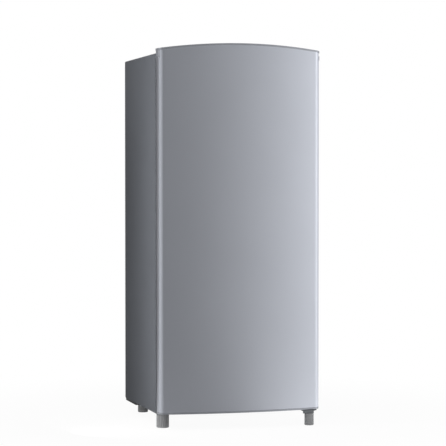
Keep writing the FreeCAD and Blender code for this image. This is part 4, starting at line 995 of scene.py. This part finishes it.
def makeKnobGrip():
    look = ribs["knob"]
    low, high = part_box("thermostat_knob")
    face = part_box("thermostat_housing")[0].x
    middle = (low + high) / 2
    radius = (high.z - low.z) / 2
    x = face - look["gap"] - look["disc"] / 2
    turns = [2 * pi * i / look["count"] for i in range(look["count"])]
    points = [(x, middle.y + radius * cos(turn), middle.z + radius * sin(turn)) for turn in turns]
    setRibs("knobGrip", "thermostat_knob", look, look["disc"] - 2 * look["margin"], (1, 0, 0), points)


makeCrisperRibs()
makeBinRails()
makeLampRibs()
makeKnobGrip()
print("ribs made")


# dial numbers

dial = {"steps": 7, "radius": 0.029, "size": 0.008, "start": -120.0, "end": 120.0, "proud": 0.0001}
# text lies flat: its right goes to -Y and its top to +Z, so that it faces -X
upright = Matrix(((0, 0, -1, 0), (-1, 0, 0, 0), (0, 1, 0, 0), (0, 0, 0, 1)))


def makeDialNumbers():
    # printed numbers round the knob, read from inside the compartment
    low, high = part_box("thermostat_knob")
    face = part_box("thermostat_housing")[0].x
    middle = (low + high) / 2
    shape = bmesh.new()
    for i in range(dial["steps"]):
        text = bpy.data.curves.new("dialText", "FONT")
        text.body = str(i + 1)
        text.size = dial["size"]
        text.align_x = "CENTER"
        text.align_y = "CENTER"
        holder = placed("dialText", text)
        graph = bpy.context.evaluated_depsgraph_get()
        flat = bpy.data.meshes.new_from_object(holder.evaluated_get(graph))
        bpy.data.objects.remove(holder)
        bpy.data.curves.remove(text)
        turn = radians(dial["start"] + (dial["end"] - dial["start"]) * i / (dial["steps"] - 1))
        across, up = dial["radius"] * sin(turn), dial["radius"] * cos(turn)
        place = Matrix.Translation((face - dial["proud"], middle.y - across, middle.z + up))
        flat.transform(place @ upright)
        shape.from_mesh(flat)
        bpy.data.meshes.remove(flat)
    numbers = newPiece("dialNumbers", meshOf("dialNumbers", shape), finishes["printGrey"])
    attach(numbers, "thermostat_housing")


makeDialNumbers()
print("dial made")


# floor, lights, world and camera

stageLook = {
    "floorSize": 60.0, "floorWhite": 0.86, "nearGlow": 0.945, "nearLift": 1.22, "fadeFrom": 0.45,
    "fadeTo": 1.4, "worldLevel": 0.5}
# the sweep as a mirror sees it: dim in front of the door and at the left, brighter at the right
sweepParts = {
    "front": {"azimuth": -15.0, "level": 0.22, "inner": 8.0, "outer": 67.0},
    "farLeft": {"azimuth": -165.0, "level": 0.2, "inner": 35.0, "outer": 68.0},
    "left": {"azimuth": -88.0, "level": 0.74, "inner": 14.0, "outer": 48.0},
    "right": {"azimuth": 67.0, "level": 1.2, "inner": 8.0, "outer": 22.0},
}


def seenBy(tree, *rays):
    # 1 for the kinds of ray that are named
    ways = addNode(tree, "ShaderNodeLightPath").outputs
    seen = ways[rays[0]]
    for ray in rays[1:]:
        seen = worked(tree, "MAXIMUM", seen, ways[ray])
    return seen


def sweepShare(tree, place, gain):
    # brightness of the white sweep: full to the eye and through glass, uneven to a mirror
    flat = vectorWorked(tree, "MULTIPLY", place, (1.0, 1.0, 0.0))[0]
    unit = vectorWorked(tree, "NORMALIZE", flat)[0]
    share = worked(tree, "MULTIPLY", seenBy(tree, "Is Glossy Ray"), gain)
    for part in sweepParts.values():
        turn = radians(part["azimuth"])
        near = vectorWorked(tree, "DOT_PRODUCT", unit, (sin(turn), -cos(turn), 0.0))["Value"]
        edges = {"Value": worked(tree, "ARCCOSINE", near), "From Min": radians(part["inner"]),
                 "From Max": radians(part["outer"]), "To Min": part["level"], "To Max": 1.0}
        left = addNode(tree, "ShaderNodeMapRange", edges, interpolation_type="SMOOTHSTEP").outputs[0]
        share = worked(tree, "MULTIPLY", share, left)
    return worked(tree, "MAXIMUM", share, seenBy(tree, "Is Camera Ray", "Is Transmission Ray"))


def makeFloor():
    half = stageLook["floorSize"] / 2
    corners = [(-half, -half, 0), (half, -half, 0), (half, half, 0), (-half, half, 0)]
    mesh = bpy.data.meshes.new("floor")
    mesh.from_pydata(corners, [], [(0, 1, 2, 3)])
    floor = placed("floor", mesh)
    material = bpy.data.materials.new("paleFloor")
    material.use_nodes = True
    tree = material.node_tree
    tree.nodes.clear()
    white = stageLook["floorWhite"]
    paint = addNode(tree, "ShaderNodeBsdfDiffuse", {"Color": (white, white, white, 1)})
    place = addNode(tree, "ShaderNodeTexCoord").outputs["Object"]
    away = vectorWorked(tree, "LENGTH", place)["Value"]
    edges = {"Value": away, "From Min": stageLook["fadeFrom"], "From Max": stageLook["fadeTo"],
             "To Max": 1.0}
    fade, lift = [addNode(tree, "ShaderNodeMapRange", {**edges, "To Min": stageLook[near]},
                          interpolation_type="SMOOTHSTEP").outputs[0] for near in ("nearGlow", "nearLift")]
    share = sweepShare(tree, place, lift)
    glow = addNode(tree, "ShaderNodeEmission", {"Color": (1, 1, 1, 1), "Strength": share})
    seen = seenBy(tree, "Is Camera Ray", "Is Transmission Ray", "Is Glossy Ray")
    mask = worked(tree, "MULTIPLY", seen, fade)
    both = addNode(tree, "ShaderNodeMixShader", {0: mask, 1: paint.outputs[0], 2: glow.outputs[0]})
    addNode(tree, "ShaderNodeOutputMaterial", {"Surface": both.outputs[0]})
    mesh.materials.append(material)


def makeWorld():
    world = bpy.data.worlds.new("studio")
    bpy.context.scene.world = world
    world.use_nodes = True
    tree = world.node_tree
    tree.nodes.clear()
    share = sweepShare(tree, addNode(tree, "ShaderNodeTexCoord").outputs["Generated"], 1.0)
    seen = seenBy(tree, "Is Camera Ray", "Is Transmission Ray", "Is Glossy Ray")
    fill, white = [addNode(tree, "ShaderNodeBackground", {"Color": (1, 1, 1, 1), "Strength": level})
                   for level in (stageLook["worldLevel"], share)]
    both = addNode(tree, "ShaderNodeMixShader", {0: seen, 1: fill.outputs[0], 2: white.outputs[0]})
    addNode(tree, "ShaderNodeOutputWorld", {"Surface": both.outputs[0]})


softboxes = {
    "rightSoftbox": {"place": (3.02, -2.12, 0.6), "size": (0.7, 6.0), "watts": 22.0},
    "leftStrip": {"place": (-0.51, -0.24, 0.62), "size": (0.08, 1.9), "watts": 4.3, "mirrored": False},
    "backEdge": {"place": (-0.58, 0.22, 1.16), "size": (0.1, 0.1), "watts": 0.45, "mirrored": False},
    "topFill": {"place": (0.2, -0.8, 3.6), "size": (2.6, 2.6), "watts": 24.0},
    "frontFill": {"place": (-0.4, -3.4, 1.1), "size": (2.4, 2.4), "watts": 18.0, "mirrored": False},
}


def makeLights():
    middle = (cadLow + cadHigh) / 2
    for name, box in softboxes.items():
        lamp = bpy.data.lights.new(name, "AREA")
        lamp.shape = "RECTANGLE"
        lamp.size, lamp.size_y = box["size"]
        lamp.energy = box["watts"]
        holder = placed(name, lamp)
        holder.location = box["place"]
        aim = middle - Vector(box["place"])
        if box["place"][2] < cadHigh.z:  # those beside the part shine level
            aim.z = 0.0
        holder.rotation_euler = aim.to_track_quat("-Z", "Y").to_euler()
        holder.visible_camera = False
        holder.visible_glossy = box.get("mirrored", True)


eye = {"place": (-1.5639, -5.50695, 0.7802), "lens": 143.37, "turn": -15.96, "dip": 1.51, "sensor": 36.0,
       "reach": 200.0}


def makeCamera():
    data = bpy.data.cameras.new("eye")
    data.lens = eye["lens"]
    data.sensor_width = eye["sensor"]
    data.clip_end = eye["reach"]
    camera = placed("eye", data)
    camera.location = eye["place"]
    camera.rotation_euler = (radians(90 - eye["dip"]), 0, radians(eye["turn"]))
    bpy.context.scene.camera = camera


makeFloor()
makeWorld()
makeLights()
makeCamera()
bpy.context.scene.view_settings.view_transform = "Standard"
print("stage set")
